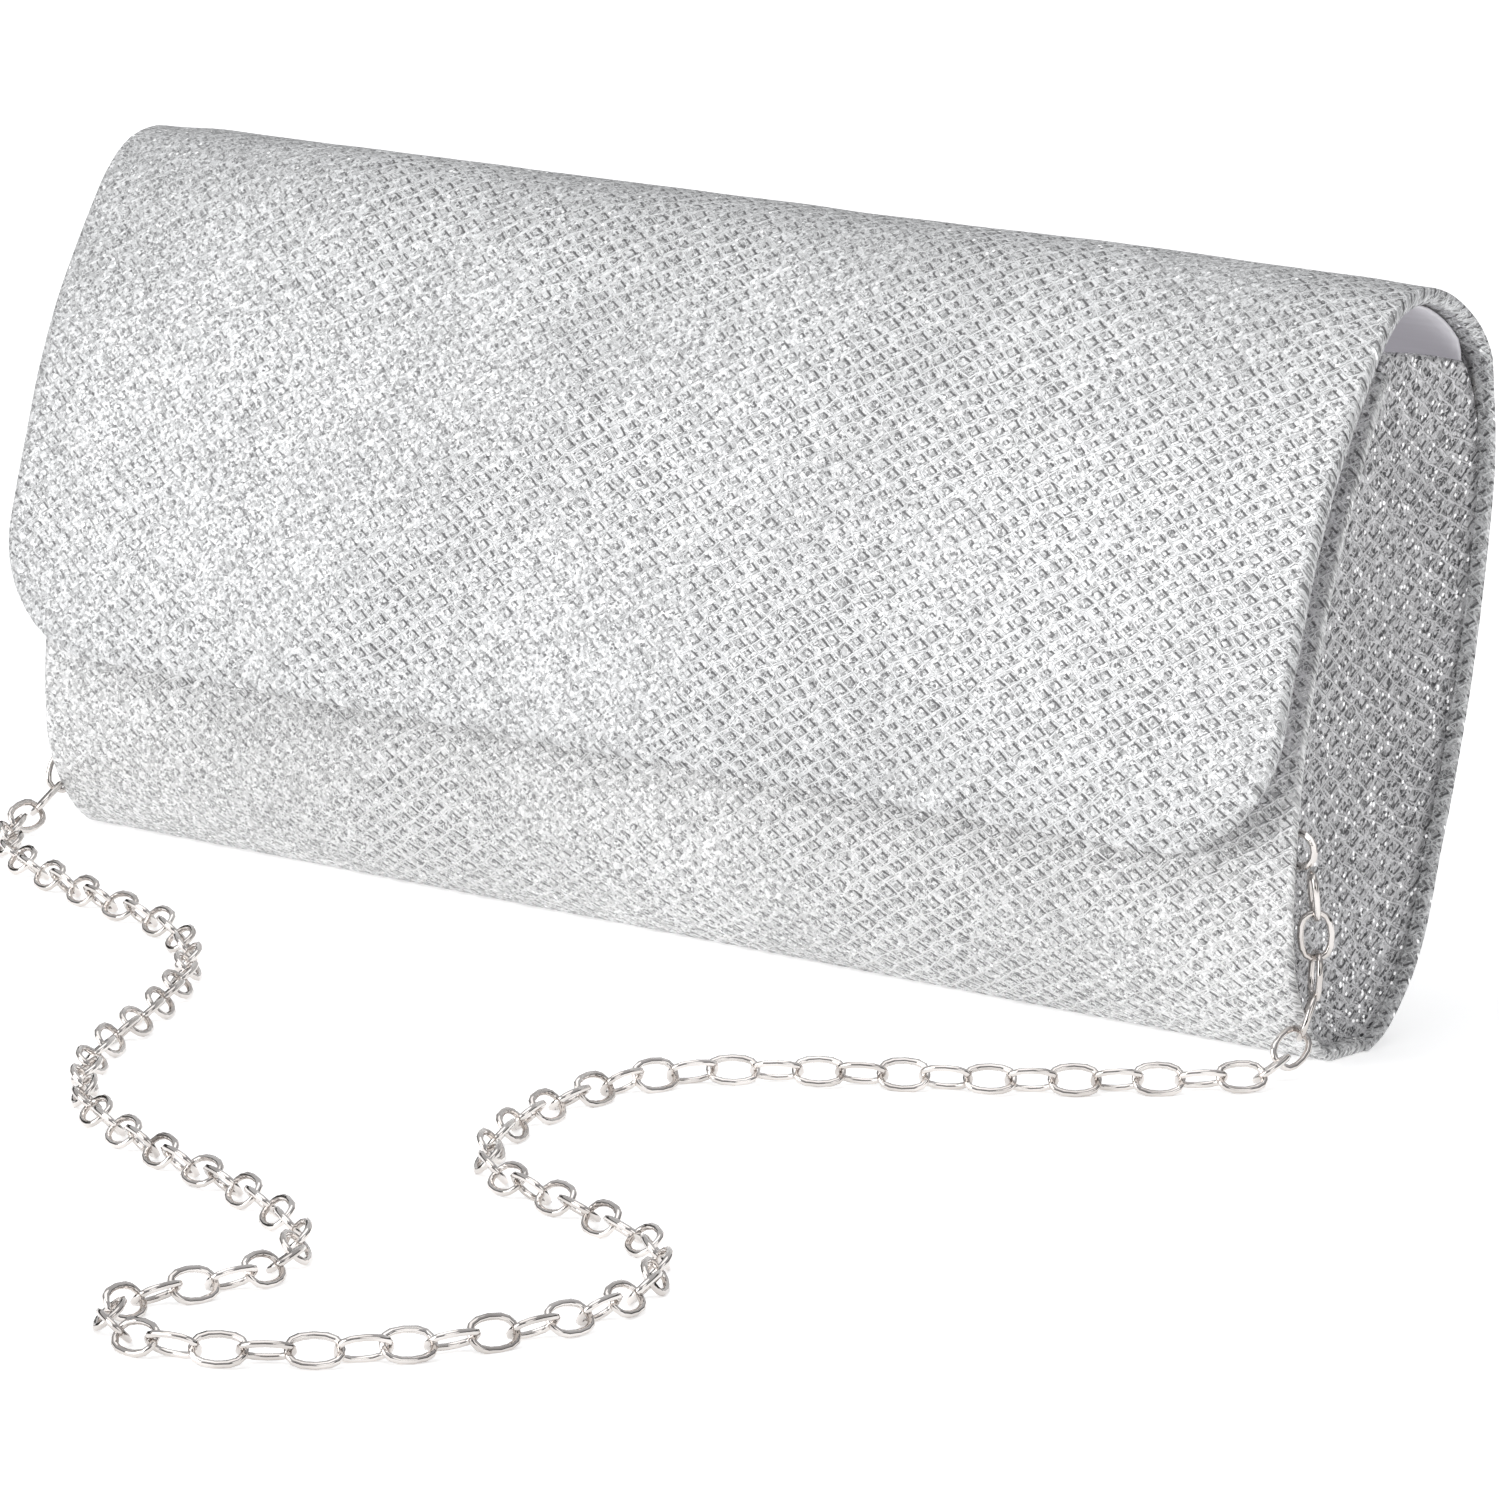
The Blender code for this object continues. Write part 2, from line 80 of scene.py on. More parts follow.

# %% [markdown]
# ## From a bmesh to a piece
# Every soft piece and the chain is built as a bmesh. One helper turns it into an object, says which
# body it rides on and which solids it stands for.

# %% Make a piece from a bmesh
def finish_piece(name, piece_bm, body, cad_nodes):
    """Turn a bmesh, in metres, into a piece that rides on a body, or on none, and stands for CAD nodes."""
    mesh = bpy.data.meshes.new(name)
    piece_bm.to_mesh(mesh)
    piece_bm.free()
    mesh.shade_smooth()
    piece = bpy.data.objects.new(name, mesh)
    bpy.context.collection.objects.link(piece)
    if body:
        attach(piece, body)
    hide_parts(*cad_nodes)
    return piece


print("finish_piece ready")

# %% [markdown]
# ## The chain, as a route
# The chain is 72 cm of limp cord. It leaves the wire loop in the right front seam, hangs down the
# corner, and wanders over the table in loose bends to the loop at the left seam. It could be simulated,
# but a listed route on one smooth curve gives the same natural lay and never changes. The route's
# points are in millimetres, and the smooth curve is walked in even steps.

# %% Route of the chain
CHAIN_ROUTE = [
    (126.5, -18.3, 29.8), (127.3, -16.6, 19.5), (128.6, -17.0, 10.5), (128.8, -22.0, 4.2),
    (126.8, -32.0, 2.0), (118.0, -43.0, 2.0), (100.0, -59.5, 2.0), (78.0, -73.0, 2.0),
    (63.5, -87.0, 2.0), (61.0, -107.0, 2.0), (66.5, -130.0, 2.0), (79.0, -148.5, 2.0),
    (101.0, -157.0, 2.0), (122.0, -166.0, 2.0), (135.0, -182.0, 2.0), (138.0, -202.0, 2.0),
    (131.0, -226.0, 2.0), (117.0, -242.0, 2.0), (102.0, -247.0, 2.0), (90.5, -239.0, 2.0),
    (90.0, -225.0, 2.0), (92.5, -210.0, 2.0), (84.0, -194.5, 2.0), (64.0, -182.0, 2.0),
    (38.0, -172.5, 2.0), (13.0, -159.5, 2.0), (-6.0, -138.0, 2.0), (-19.0, -112.0, 2.0),
    (-34.0, -87.0, 2.0), (-55.0, -68.0, 2.0), (-83.0, -58.0, 2.0), (-107.0, -47.0, 2.0),
    (-122.5, -32.5, 2.0), (-128.8, -21.0, 4.0), (-128.8, -14.8, 10.5), (-127.5, -14.8, 20.0),
    (-126.5, -18.3, 29.8),
]
CHAIN_DIAMETER = 0.004
LINK_PITCH = 0.00624
# Open links hang closer to the gussets than a plain cord, which has to keep clear of the seams
BESIDE_BAG = -0.030
BESIDE_GUSSET = 0.1262


def smooth_line(points, per_span=8):
    """A Catmull-Rom curve through the points."""
    pts = [Vector(p) for p in points]
    pts = [pts[0] * 2 - pts[1]] + pts + [pts[-1] * 2 - pts[-2]]
    line = []
    for p0, p1, p2, p3 in zip(pts, pts[1:], pts[2:], pts[3:]):
        for k in range(per_span):
            t = k / per_span
            c = p0 * 2 - p1 * 5 + p2 * 4 - p3
            d = p1 * 3 - p0 - p2 * 3 + p3
            line.append((p1 * 2 + (p2 - p0) * t + c * t * t + d * t * t * t) * 0.5)
    line.append(pts[-2])
    return line


def walk(line, step):
    """Points at even steps along a line of vectors, and the line's length."""
    total = sum((b - a).length for a, b in zip(line, line[1:]))
    count = round(total / step)
    step = total / count
    out, left = [line[0].copy()], step
    for a, b in zip(line, line[1:]):
        span = (b - a).length
        at = 0.0
        while span - at >= left - 1e-12:
            at += left
            out.append(a + (b - a) * (at / span))
            left = step
        left -= span - at
    if len(out) == count:
        out.append(line[-1].copy())
    return out[:count + 1], total


route = [tuple(round(c * MM, 4) for c in point) for point in CHAIN_ROUTE]
link_ends, chain_length = walk(smooth_line(route, 12), LINK_PITCH)
for point in link_ends:
    point.z = max(point.z, CHAIN_DIAMETER / 2)
    if point.y > BESIDE_BAG:
        point.x = max(-BESIDE_GUSSET, min(BESIDE_GUSSET, point.x))
print("chain", round(chain_length, 4), "m,", len(link_ends) - 1, "links")

# %% [markdown]
# ## One chain link
# A link is a bent wire, so it is a small circle spun round into a ring and then drawn out to an oval.
# Over a hundred links hang together, so one link has only a few dozen faces. Neighbours turn by a
# quarter turn round the chain, and every link leans at about 45 degrees when it lies on a table.

# %% Make one link
WIRE_R = 0.00052
LINK_HALF_WIDTH = 0.00235
LINK_STRETCH = 0.0012


def link_mesh():
    link_bm = bmesh.new()
    bmesh.ops.create_circle(link_bm, cap_ends=False, segments=6, radius=WIRE_R)
    bmesh.ops.rotate(link_bm, verts=link_bm.verts, matrix=Matrix.Rotation(math.pi / 2, 3, "X"))
    bmesh.ops.translate(link_bm, verts=link_bm.verts, vec=(LINK_HALF_WIDTH, 0.0, 0.0))
    bmesh.ops.spin(
        link_bm, geom=link_bm.verts[:] + link_bm.edges[:], cent=(0, 0, 0), axis=(0, 0, 1),
        angle=math.tau, steps=16, use_merge=True,
    )
    bmesh.ops.remove_doubles(link_bm, verts=link_bm.verts, dist=1e-6)
    for vert in link_bm.verts:
        vert.co.x += LINK_STRETCH * max(-1.0, min(1.0, vert.co.x / 0.0014))
    bmesh.ops.recalc_face_normals(link_bm, faces=link_bm.faces)
    made = bpy.data.meshes.new("one_link")
    link_bm.to_mesh(made)
    link_bm.free()
    return made


one_link = link_mesh()
print("one link", len(one_link.polygons), "faces")

# %% Link up the chain
rng = random.Random(11)


def link_place(start, end, index):
    """The link between two points: its long side along the chain, its face turned one way or the other."""
    along = (end - start).normalized()
    up = Vector((0, 0, 1)) - along * along.z
    up = up.normalized() if up.length > 0.2 else (Vector((1, 0, 0)) - along * along.x).normalized()
    side = up.cross(along)
    turn = Matrix((along, side, up)).transposed().to_4x4()
    lean = math.radians(45.0 if index % 2 else -45.0) + math.radians(rng.uniform(-9.0, 9.0))
    drift = Vector((rng.uniform(-1, 1), rng.uniform(-1, 1), 0.0)) * 0.00012
    centre = (start + end) / 2 + drift
    centre.z = max(centre.z, 0.00215)
    return Matrix.Translation(centre) @ turn @ Matrix.Rotation(lean, 4, "X")


chain_bm = bmesh.new()
for index, (start, end) in enumerate(zip(link_ends, link_ends[1:])):
    before = len(chain_bm.verts)
    chain_bm.from_mesh(one_link)
    chain_bm.verts.ensure_lookup_table()
    bmesh.ops.transform(chain_bm, matrix=link_place(start, end, index), verts=chain_bm.verts[before:])
chain = finish_piece("shoulder_chain", chain_bm, "body", ("chain",))
print("chain", len(chain.data.polygons), "faces")

# %% [markdown]
# ## Lines of the bag
# Seen from the side, the bag is a soft drop: a narrow flat base, a front that leans back towards the
# mouth, a rounder back, and a flap that arches over the top. Each line is a handful of (y, z) points
# in millimetres, and a smooth curve runs through them. The same lines shaped the solids, so cloth
# that is folded along them lies exactly on the boards.

# %% Side lines of the bag
FRONT_LINE = [
    (-1.1, 102.4), (-4.4, 96.3), (-8.1, 88.5), (-11.6, 80.0), (-14.8, 71.0), (-17.6, 61.5),
    (-19.7, 52.0), (-21.0, 43.0), (-21.6, 36.0), (-22.0, 29.0), (-22.0, 22.0), (-21.5, 16.5),
    (-20.1, 11.5), (-17.8, 7.0), (-14.8, 3.0), (-11.5, 0.4), (-10.0, 0.0),
]
BACK_LINE = [
    (-1.0, 0.0), (3.2, 1.9), (7.2, 5.8), (10.5, 10.2), (13.0, 15.2), (14.9, 21.0), (16.6, 27.5),
    (18.5, 33.5), (20.7, 41.5), (22.8, 50.0), (24.4, 58.0), (25.8, 67.0), (27.0, 76.0),
    (27.7, 84.0), (27.5, 91.0), (26.9, 96.0), (26.4, 99.4),
]
FLAP_LINE = [
    (-26.7, 32.3), (-26.3, 36.5), (-25.6, 42.0), (-24.3, 49.3), (-22.4, 57.0), (-19.9, 66.0),
    (-17.0, 76.0), (-13.0, 86.0), (-9.0, 93.6), (-4.9, 100.6), (-1.3, 106.0), (3.0, 109.8),
    (8.0, 110.8), (12.8, 109.7), (16.8, 107.6), (20.2, 104.9), (22.3, 102.2), (23.2, 100.2),
]
GUSSET_TOP = [(0.6, 104.8), (8.0, 103.8), (15.0, 102.6), (21.4, 101.2)]
HALF_WIDTH = 125.0
FLAP_LEFT = -128.2
FLAP_RIGHT = 125.5
FLAP_THICK = 3.3
FLAP_CORNER = 20.0
GUSSET_FACE = 123.2


class Run:
    """A line that can be asked for the point and the outward normal at any distance along it, in mm."""

    def __init__(self, points, outward):
        self.points = points
        self.outward = outward
        self.at = [0.0]
        for a, b in zip(points, points[1:]):
            self.at.append(self.at[-1] + (b - a).length)
        self.length = self.at[-1]

    def place(self, run):
        """The point at a distance along the line; past an end, the line goes straight on."""
        low, high = 0, len(self.points) - 2
        while low < high:
            mid = (low + high + 1) // 2
            if self.at[mid] <= run:
                low = mid
            else:
                high = mid - 1
        a, b = self.points[low], self.points[low + 1]
        return a + (b - a) * ((run - self.at[low]) / (self.at[low + 1] - self.at[low]))

    def normal(self, run):
        along = self.place(run + 1.2) - self.place(run - 1.2)
        along.normalize()
        return Vector((-along.y, along.x)) * self.outward


front_run = Run(smooth_line(FRONT_LINE), -1)
back_run = Run(smooth_line(BACK_LINE), -1)
flap_run = Run(smooth_line(FLAP_LINE), 1)
print("front, back, flap", [round(run.length, 1) for run in (front_run, back_run, flap_run)], "mm")

# %% [markdown]
# ## Helpers for cloth
# A bag's cloth is cut flat. So each piece starts as a flat grid, lying in X and Y, with its height in
# Z. Corners are rounded, edges are hemmed with extrude, and the UV map is written while the piece is
# flat, in metres, so that the knit keeps its size and runs straight. Folding then moves every point
# to the bag: its distance along the piece picks a place on the side line, and its height moves it out
# along the normal there.

# %% Cut a flat piece
def flat_piece(x_low, x_high, length, step=2.5):
    """A flat grid from x_low to x_high and from 0 to length, in mm, with a UV map in metres."""
    across = max(2, round((x_high - x_low) / step))
    along = max(2, round(length / step))
    piece_bm = bmesh.new()
    piece_bm.loops.layers.uv.new("flat")
    bmesh.ops.create_grid(piece_bm, x_segments=across, y_segments=along, size=0.5)
    bmesh.ops.translate(piece_bm, verts=piece_bm.verts, vec=(0.5, 0.5, 0.0))
    bmesh.ops.scale(piece_bm, verts=piece_bm.verts, vec=(x_high - x_low, length, 1.0))
    bmesh.ops.translate(piece_bm, verts=piece_bm.verts, vec=(x_low, 0.0, 0.0))
    return piece_bm


def write_uv(piece_bm):
    """The flat place of each corner, in metres, is its place on the cloth."""
    uv = piece_bm.loops.layers.uv["flat"]
    for face in piece_bm.faces:
        for loop in face.loops:
            side = loop.vert.co.z * MM
            loop[uv].uv = (loop.vert.co.x * MM + side * 0.7, loop.vert.co.y * MM + side)


def round_corner(piece_bm, x_edge, y_edge, radius):
    """Draw the square corner at a flat piece's far end in to an arc: its rows bend as on a disc."""
    sx = 1.0 if x_edge > 0 else -1.0
    centre_x = x_edge - sx * radius
    centre_y = y_edge - radius
    for vert in piece_bm.verts:
        a = (vert.co.x - centre_x) * sx / radius
        b = (vert.co.y - centre_y) / radius
        if a > 0.0 and b > 0.0:
            vert.co.x = centre_x + sx * radius * a * math.sqrt(1.0 - b * b / 2.0)
            vert.co.y = centre_y + radius * b * math.sqrt(1.0 - a * a / 2.0)


# %% Fold a flat piece round the bag
def fold(piece_bm, run, start=0.0):
    """Move every point of a flat piece, in mm, to its place on the bag, in metres."""
    for vert in piece_bm.verts:
        x, along, height = vert.co
        spot = run.place(along + start) + run.normal(along + start) * height
        vert.co = (x * MM, spot.x * MM, spot.y * MM)
    if run.outward < 0:
        bmesh.ops.reverse_faces(piece_bm, faces=piece_bm.faces)


def thicken(piece, thickness):
    """Solidify a cloth inwards, away from the side that shows."""
    wall = piece.modifiers.new("wall", "SOLIDIFY")
    wall.thickness = thickness * MM
    wall.offset = -1.0


def ripple(x, y, size, seed):
    """Slow, even unevenness from -1 to 1, for cloth that isn't perfectly flat."""
    return noise.noise(Vector((x / size, y / size, seed)))


def border_edges(piece_bm, test=lambda place: True):
    """Border edges whose two ends both pass a test."""
    return [
        edge for edge in piece_bm.edges
        if edge.is_boundary and all(test(vert.co) for vert in edge.verts)
    ]


def extrude_border(piece_bm, edges, move):
    """Extrude border edges and move each new point by what move(point) says."""
    made = bmesh.ops.extrude_edge_only(piece_bm, edges=edges)
    verts = [item for item in made["geom"] if isinstance(item, bmesh.types.BMVert)]
    for vert in verts:
        vert.co += move(vert.co)
    return [item for item in made["geom"] if isinstance(item, bmesh.types.BMEdge) and item.is_boundary]


print("cloth helpers ready")

# %% [markdown]
# ## The silver mesh cloth
# The bag's cloth is a knitted net of metallic yarn: rows of small diamond-shaped holes, four and a
# half millimetres apart, between bright strands, all covered in hair-fine silver fibres. One shader
# group makes it and every cloth panel uses it. It reads the UV map, which is in metres, squeezes it
# into diamonds, and lets a Voronoi pattern place one hole in each diamond.

# %% Small helpers for shader nodes
FLOAT = "NodeSocketFloat"
COLOUR = "NodeSocketColor"
PLACE = "NodeSocketVector"


def new_material(name):
    made = bpy.data.materials.new(name)
    made.use_nodes = True
    return made, made.node_tree, made.node_tree.nodes["Principled BSDF"]


def add_node(tree, kind, **settings):
    made = tree.nodes.new(kind)
    for key, value in settings.items():
        setattr(made, key, value)
    return made


def set_inputs(node, values):
    """Set several inputs of a node, named by their labels."""
    for label, value in values.items():
        node.inputs[label].default_value = value


def plug(tree, source, target):
    tree.links.new(source, target)


def math_node(tree, operation, first, second=0.0, third=None):
    """A Math node; each input is a number or a socket."""
    made = add_node(tree, "ShaderNodeMath", operation=operation)
    for socket, value in zip(made.inputs, (first, second, third)):
        if value is None:
            continue
        if isinstance(value, (int, float)):
            socket.default_value = value
        else:
            plug(tree, value, socket)
    return made.outputs[0]


def ramp_between(tree, value, low, high, to_low=0.0, to_high=1.0):
    """Smoothly map value from low..high to to_low..to_high."""
    made = add_node(tree, "ShaderNodeMapRange", interpolation_type="SMOOTHSTEP")
    plug(tree, value, made.inputs["Value"])
    set_inputs(made, {"From Min": low, "From Max": high, "To Min": to_low, "To Max": to_high})
    return made.outputs["Result"]


def mix_colour(tree, factor, first, second):
    made = add_node(tree, "ShaderNodeMix", data_type="RGBA")
    plug(tree, factor, made.inputs[0])
    for socket, value in ((made.inputs[6], first), (made.inputs[7], second)):
        if isinstance(value, tuple):
            socket.default_value = value
        else:
            plug(tree, value, socket)
    return made.outputs[2]


def vector_math(tree, operation, first, second=None, scale=None):
    """A Vector Math node; the second input is a tuple or a socket."""
    made = add_node(tree, "ShaderNodeVectorMath", operation=operation)
    plug(tree, first, made.inputs[0])
    if isinstance(second, tuple):
        made.inputs[1].default_value = second
    elif second is not None:
        plug(tree, second, made.inputs[1])
    if scale is not None:
        made.inputs["Scale"].default_value = scale
    return made.outputs[0]


def channels(tree, colour):
    """The red, green and blue of a colour, as three values."""
    made = add_node(tree, "ShaderNodeSeparateColor")
    plug(tree, colour, made.inputs[0])
    return made.outputs


def texture(tree, kind, place, scale, detail=None, **settings):
    """A texture node that reads a place, with its scale and, for noise, its detail."""
    made = add_node(tree, kind, **settings)
    plug(tree, place, made.inputs["Vector"])
    made.inputs["Scale"].default_value = scale
    if detail is not None:
        made.inputs["Detail"].default_value = detail
    return made


def add_bump(tree, shader, height, strength, distance):
    """A Bump node between a height and the shader's normal."""
    bump = add_node(tree, "ShaderNodeBump")
    set_inputs(bump, {"Strength": strength, "Distance": distance})
    plug(tree, height, bump.inputs["Height"])
    plug(tree, bump.outputs[0], shader.inputs["Normal"])


def group_with(name, inputs, outputs):
    """An empty shader group with named float or colour sockets."""
    group = bpy.data.node_groups.new(name, "ShaderNodeTree")
    for label, kind, value in inputs:
        socket = group.interface.new_socket(label, in_out="INPUT", socket_type=kind)
        if value is not None:
            socket.default_value = value
    for label, kind in outputs:
        group.interface.new_socket(label, in_out="OUTPUT", socket_type=kind)
    entry = group.nodes.new("NodeGroupInput")
    leave = group.nodes.new("NodeGroupOutput")
    return group, entry, leave


print("shader helpers ready")

# %% Sizes of the knit, and its empty shader group
CELL_WIDTH = 0.00445
CELL_HEIGHT = 0.0029
SMALLEST_HOLE = 0.17
LARGEST_HOLE = 0.34
UNEVENNESS = 0.30
ROW_BEND = 0.0013
FIBRE_BEND = 0.0012
# Waves or cells in each metre of cloth
WAVER_SCALE = 160.0
HIGHLIGHT_PATCH_SCALE = 26.0
BEND_SCALE = 700.0
FIBRE_SCALE = 1050.0
FOIL_SCALE = 2200.0
SHEEN_DRIFT_SCALE = 17.0
GLINT_SPOT_SCALE = 1350.0
GLINT_CLUSTER_SCALE = 55.0

mesh_group, g_in, g_out = group_with(
    "silver_mesh",
    [
        ("Place", PLACE, None),
        ("Hole Depth", FLOAT, 1.0),
        ("Bright", COLOUR, None),
        ("Dark", COLOUR, None),
        ("Tone", FLOAT, 0.60),
        ("Grain", FLOAT, 0.36),
        ("Glint", FLOAT, 1.0),
        ("Glint Share", FLOAT, 0.0),
    ],
    [
        ("Colour", COLOUR),
        ("Height", FLOAT),
        ("Roughness", FLOAT),
        ("Metal", FLOAT),
        ("Painted Glint", COLOUR),
    ],
)
cloth_place = g_in.outputs["Place"]


def knit_math(operation, first, second=0.0, third=None):
    return math_node(mesh_group, operation, first, second, third)


def knit_ramp(value, low, high, to_low=0.0, to_high=1.0):
    return ramp_between(mesh_group, value, low, high, to_low, to_high)


def knit_noise(scale, detail):
    return texture(mesh_group, "ShaderNodeTexNoise", cloth_place, scale, detail)


def knit_cells(place, scale, feature="F1"):
    return texture(
        mesh_group, "ShaderNodeTexVoronoi", place, scale, voronoi_dimensions="2D", feature=feature,
    )


print("mesh group sockets", len(mesh_group.interface.items_tree))

# %% Rows that waver, turned into diamonds
waver = knit_noise(WAVER_SCALE, 1.0)
waver_centred = vector_math(mesh_group, "SUBTRACT", waver.outputs["Color"], (0.5, 0.5, 0.5))
waver_small = vector_math(mesh_group, "SCALE", waver_centred, scale=ROW_BEND)
row_place = vector_math(mesh_group, "ADD", cloth_place, waver_small)

# One coordinate runs one way across the diamonds and the other one the other way
axes = add_node(mesh_group, "ShaderNodeSeparateXYZ")
plug(mesh_group, row_place, axes.inputs[0])
across = knit_math("DIVIDE", axes.outputs["X"], CELL_WIDTH)
along = knit_math("DIVIDE", axes.outputs["Y"], CELL_HEIGHT)
diamond = add_node(mesh_group, "ShaderNodeCombineXYZ")
plug(mesh_group, knit_math("ADD", across, along), diamond.inputs["X"])
plug(mesh_group, knit_math("SUBTRACT", across, along), diamond.inputs["Y"])

# The net shows clearly in some places and fades under broad painted highlights in others, and it shows more
# clearly to the right, as painted grazing light
patch = knit_noise(HIGHLIGHT_PATCH_SCALE, 2.0)
net_show_painted_light = knit_math("MULTIPLY_ADD", axes.outputs["X"], 1.1, patch.outputs["Fac"])
net_show_painted_light = knit_ramp(net_show_painted_light, 0.30, 0.62, 0.45, 1.0)
print("diamonds", CELL_WIDTH, "by", CELL_HEIGHT, "m")


# %% Holes, a painted shadow along one rim of each, and the strands between
def hole_pattern(feature, metric=None, lookup=None):
    """The same Voronoi pattern, read as hole distance or strand distance, here or a step aside."""
    pattern = knit_cells(lookup or diamond.outputs[0], 1.0, feature)
    if metric:
        pattern.distance = metric
    pattern.inputs["Randomness"].default_value = UNEVENNESS
    return pattern


# A painted shadow along one rim of each hole: the same holes, read a step aside, mark a thin crescent that
# is drawn dark
rim_shadow_place = vector_math(mesh_group, "ADD", diamond.outputs[0], (0.02, 0.14, 0.0))
hole = hole_pattern("F1", "CHEBYCHEV")
rim_shadow = hole_pattern("F1", "CHEBYCHEV", rim_shadow_place)
strand = hole_pattern("DISTANCE_TO_EDGE")
hole_tone = channels(mesh_group, hole.outputs["Color"])
hole_size = knit_ramp(hole_tone[0], 0.0, 1.0, SMALLEST_HOLE, LARGEST_HOLE)
hole_in = knit_math("SUBTRACT", hole_size, hole.outputs["Distance"])
hole_mask = knit_math("MULTIPLY", knit_ramp(hole_in, -0.03, 0.06), g_in.outputs["Hole Depth"])
hole_mask = knit_math("MULTIPLY", hole_mask, net_show_painted_light)
past_rim_shadow = knit_math("SUBTRACT", rim_shadow.outputs["Distance"], hole_size)
rim_shadow_mask = knit_math("MULTIPLY", hole_mask, knit_ramp(past_rim_shadow, -0.05, 0.04))
strand_mask = knit_ramp(strand.outputs["Distance"], 0.10, 0.015)
strand_mask = knit_math("MULTIPLY", strand_mask, net_show_painted_light)
print("hole half widths", SMALLEST_HOLE, "to", LARGEST_HOLE, "of a cell")

# %% Hair-fine fibres and flat foil yarn
# Fibres are the thin walls of a very small cell pattern, bent by noise
fibre_bend = knit_noise(BEND_SCALE, 2.0)
fibre_shift = vector_math(mesh_group, "SCALE", fibre_bend.outputs["Color"], scale=FIBRE_BEND)
fibre_place = vector_math(mesh_group, "ADD", cloth_place, fibre_shift)
fibre = knit_cells(fibre_place, FIBRE_SCALE, "DISTANCE_TO_EDGE")
fibre_mask = knit_ramp(fibre.outputs["Distance"], 0.10, 0.015)

# Foil yarn reflects in small patches of slightly different grey
foil = knit_cells(cloth_place, FOIL_SCALE)
foil_tone = channels(mesh_group, foil.outputs["Color"])

# Painted sheen: a slow change over the cloth paints broad areas lighter, like bands of highlight
drift = knit_noise(SHEEN_DRIFT_SCALE, 1.5)
print("fibres", FIBRE_SCALE, "and foil", FOIL_SCALE, "cells in a metre")

# %% Colour of the knit
grain = knit_math("SUBTRACT", foil_tone[0], 0.5)
base_tone = knit_math("MULTIPLY_ADD", grain, g_in.outputs["Grain"], g_in.outputs["Tone"])
# The slow drift paints the broad sheen into the tone
base_tone = knit_math("MULTIPLY", base_tone, knit_ramp(drift.outputs["Fac"], 0.35, 0.65, 0.90, 1.10))
# Painted shade: the holes are drawn a little darker and one rim of each much darker, as a painted shadow;
# the fibres are dimmed inside that shadow too
cloth_tone = knit_math("MULTIPLY", base_tone, knit_ramp(hole_mask, 0.0, 1.0, 1.0, 0.88))
cloth_tone = knit_math("MULTIPLY", cloth_tone, knit_ramp(rim_shadow_mask, 0.0, 0.9, 1.0, 0.12))
lit_tone = knit_math("MAXIMUM", cloth_tone, knit_math("MULTIPLY", strand_mask, 0.90))
fibre_lit = knit_math("MULTIPLY", fibre_mask, knit_ramp(rim_shadow_mask, 0.0, 0.8, 1.0, 0.2))
full_tone = knit_math("MAXIMUM", lit_tone, fibre_lit)
knit_colour = mix_colour(mesh_group, full_tone, g_in.outputs["Dark"], g_in.outputs["Bright"])
plug(mesh_group, knit_colour, g_out.inputs["Colour"])
print("colour runs from the group's Dark to its Bright")

# %% Height, roughness and metal of the knit
# Holes sink; strands, fibres and foil stand up
height = knit_math("MULTIPLY", hole_mask, -1.0)
for mask, rise in ((strand_mask, 0.35), (fibre_mask, 0.22), (foil_tone[1], 0.25)):
    height = knit_math("MULTIPLY_ADD", mask, rise, height)
plug(mesh_group, height, g_out.inputs["Height"])
plug(mesh_group, knit_ramp(foil_tone[2], 0.0, 1.0, 0.28, 0.62), g_out.inputs["Roughness"])
plug(mesh_group, knit_ramp(full_tone, 0.2, 0.9, 0.15, 0.55), g_out.inputs["Metal"])
print("height, roughness and metal plugged in")

# %% Painted glints
# Painted glints: a few tiny spots glow through emission as if they caught the light fully, more of them in
# some places than in others
glint_spot = knit_cells(cloth_place, GLINT_SPOT_SCALE)
glint_spot_tone = channels(mesh_group, glint_spot.outputs["Color"])
glint_cluster = knit_noise(GLINT_CLUSTER_SCALE, 1.0)
painted_glint = knit_math("MULTIPLY_ADD", glint_cluster.outputs["Fac"], 0.09, glint_spot_tone[0])
painted_glint = knit_math("ADD", painted_glint, g_in.outputs["Glint Share"])
painted_glint = knit_ramp(painted_glint, 1.025, 1.035)
painted_glint = knit_math("MULTIPLY", painted_glint, knit_ramp(glint_spot.outputs["Distance"], 0.42, 0.25))
painted_glint = knit_math("MULTIPLY", painted_glint, g_in.outputs["Glint"])
painted_glint_colour = add_node(mesh_group, "ShaderNodeCombineColor")
for channel in painted_glint_colour.inputs:
    plug(mesh_group, painted_glint, channel)
plug(mesh_group, painted_glint_colour.outputs[0], g_out.inputs["Painted Glint"])
print("mesh group nodes", len(mesh_group.nodes))

# %% Cloth materials from the group
# Emission strength of the painted glints
PAINTED_GLINT_STRENGTH = 0.7
KNIT_HEIGHT = 0.00035


def cloth_material(name, values):
    """A cloth that reads the knit at the piece's own flat UV map."""
    made, tree, shader = new_material(name)
    uv = add_node(tree, "ShaderNodeUVMap", uv_map="flat")
    knit = add_node(tree, "ShaderNodeGroup")
    knit.node_tree = mesh_group
    plug(tree, uv.outputs[0], knit.inputs["Place"])
    set_inputs(knit, values)
    for label, target in (
        ("Colour", "Base Color"), ("Roughness", "Roughness"), ("Metal", "Metallic"),
        ("Painted Glint", "Emission Color"),
    ):
        plug(tree, knit.outputs[label], shader.inputs[target])
    shader.inputs["Emission Strength"].default_value = PAINTED_GLINT_STRENGTH
    add_bump(tree, shader, knit.outputs["Height"], 0.8, KNIT_HEIGHT)
    return made


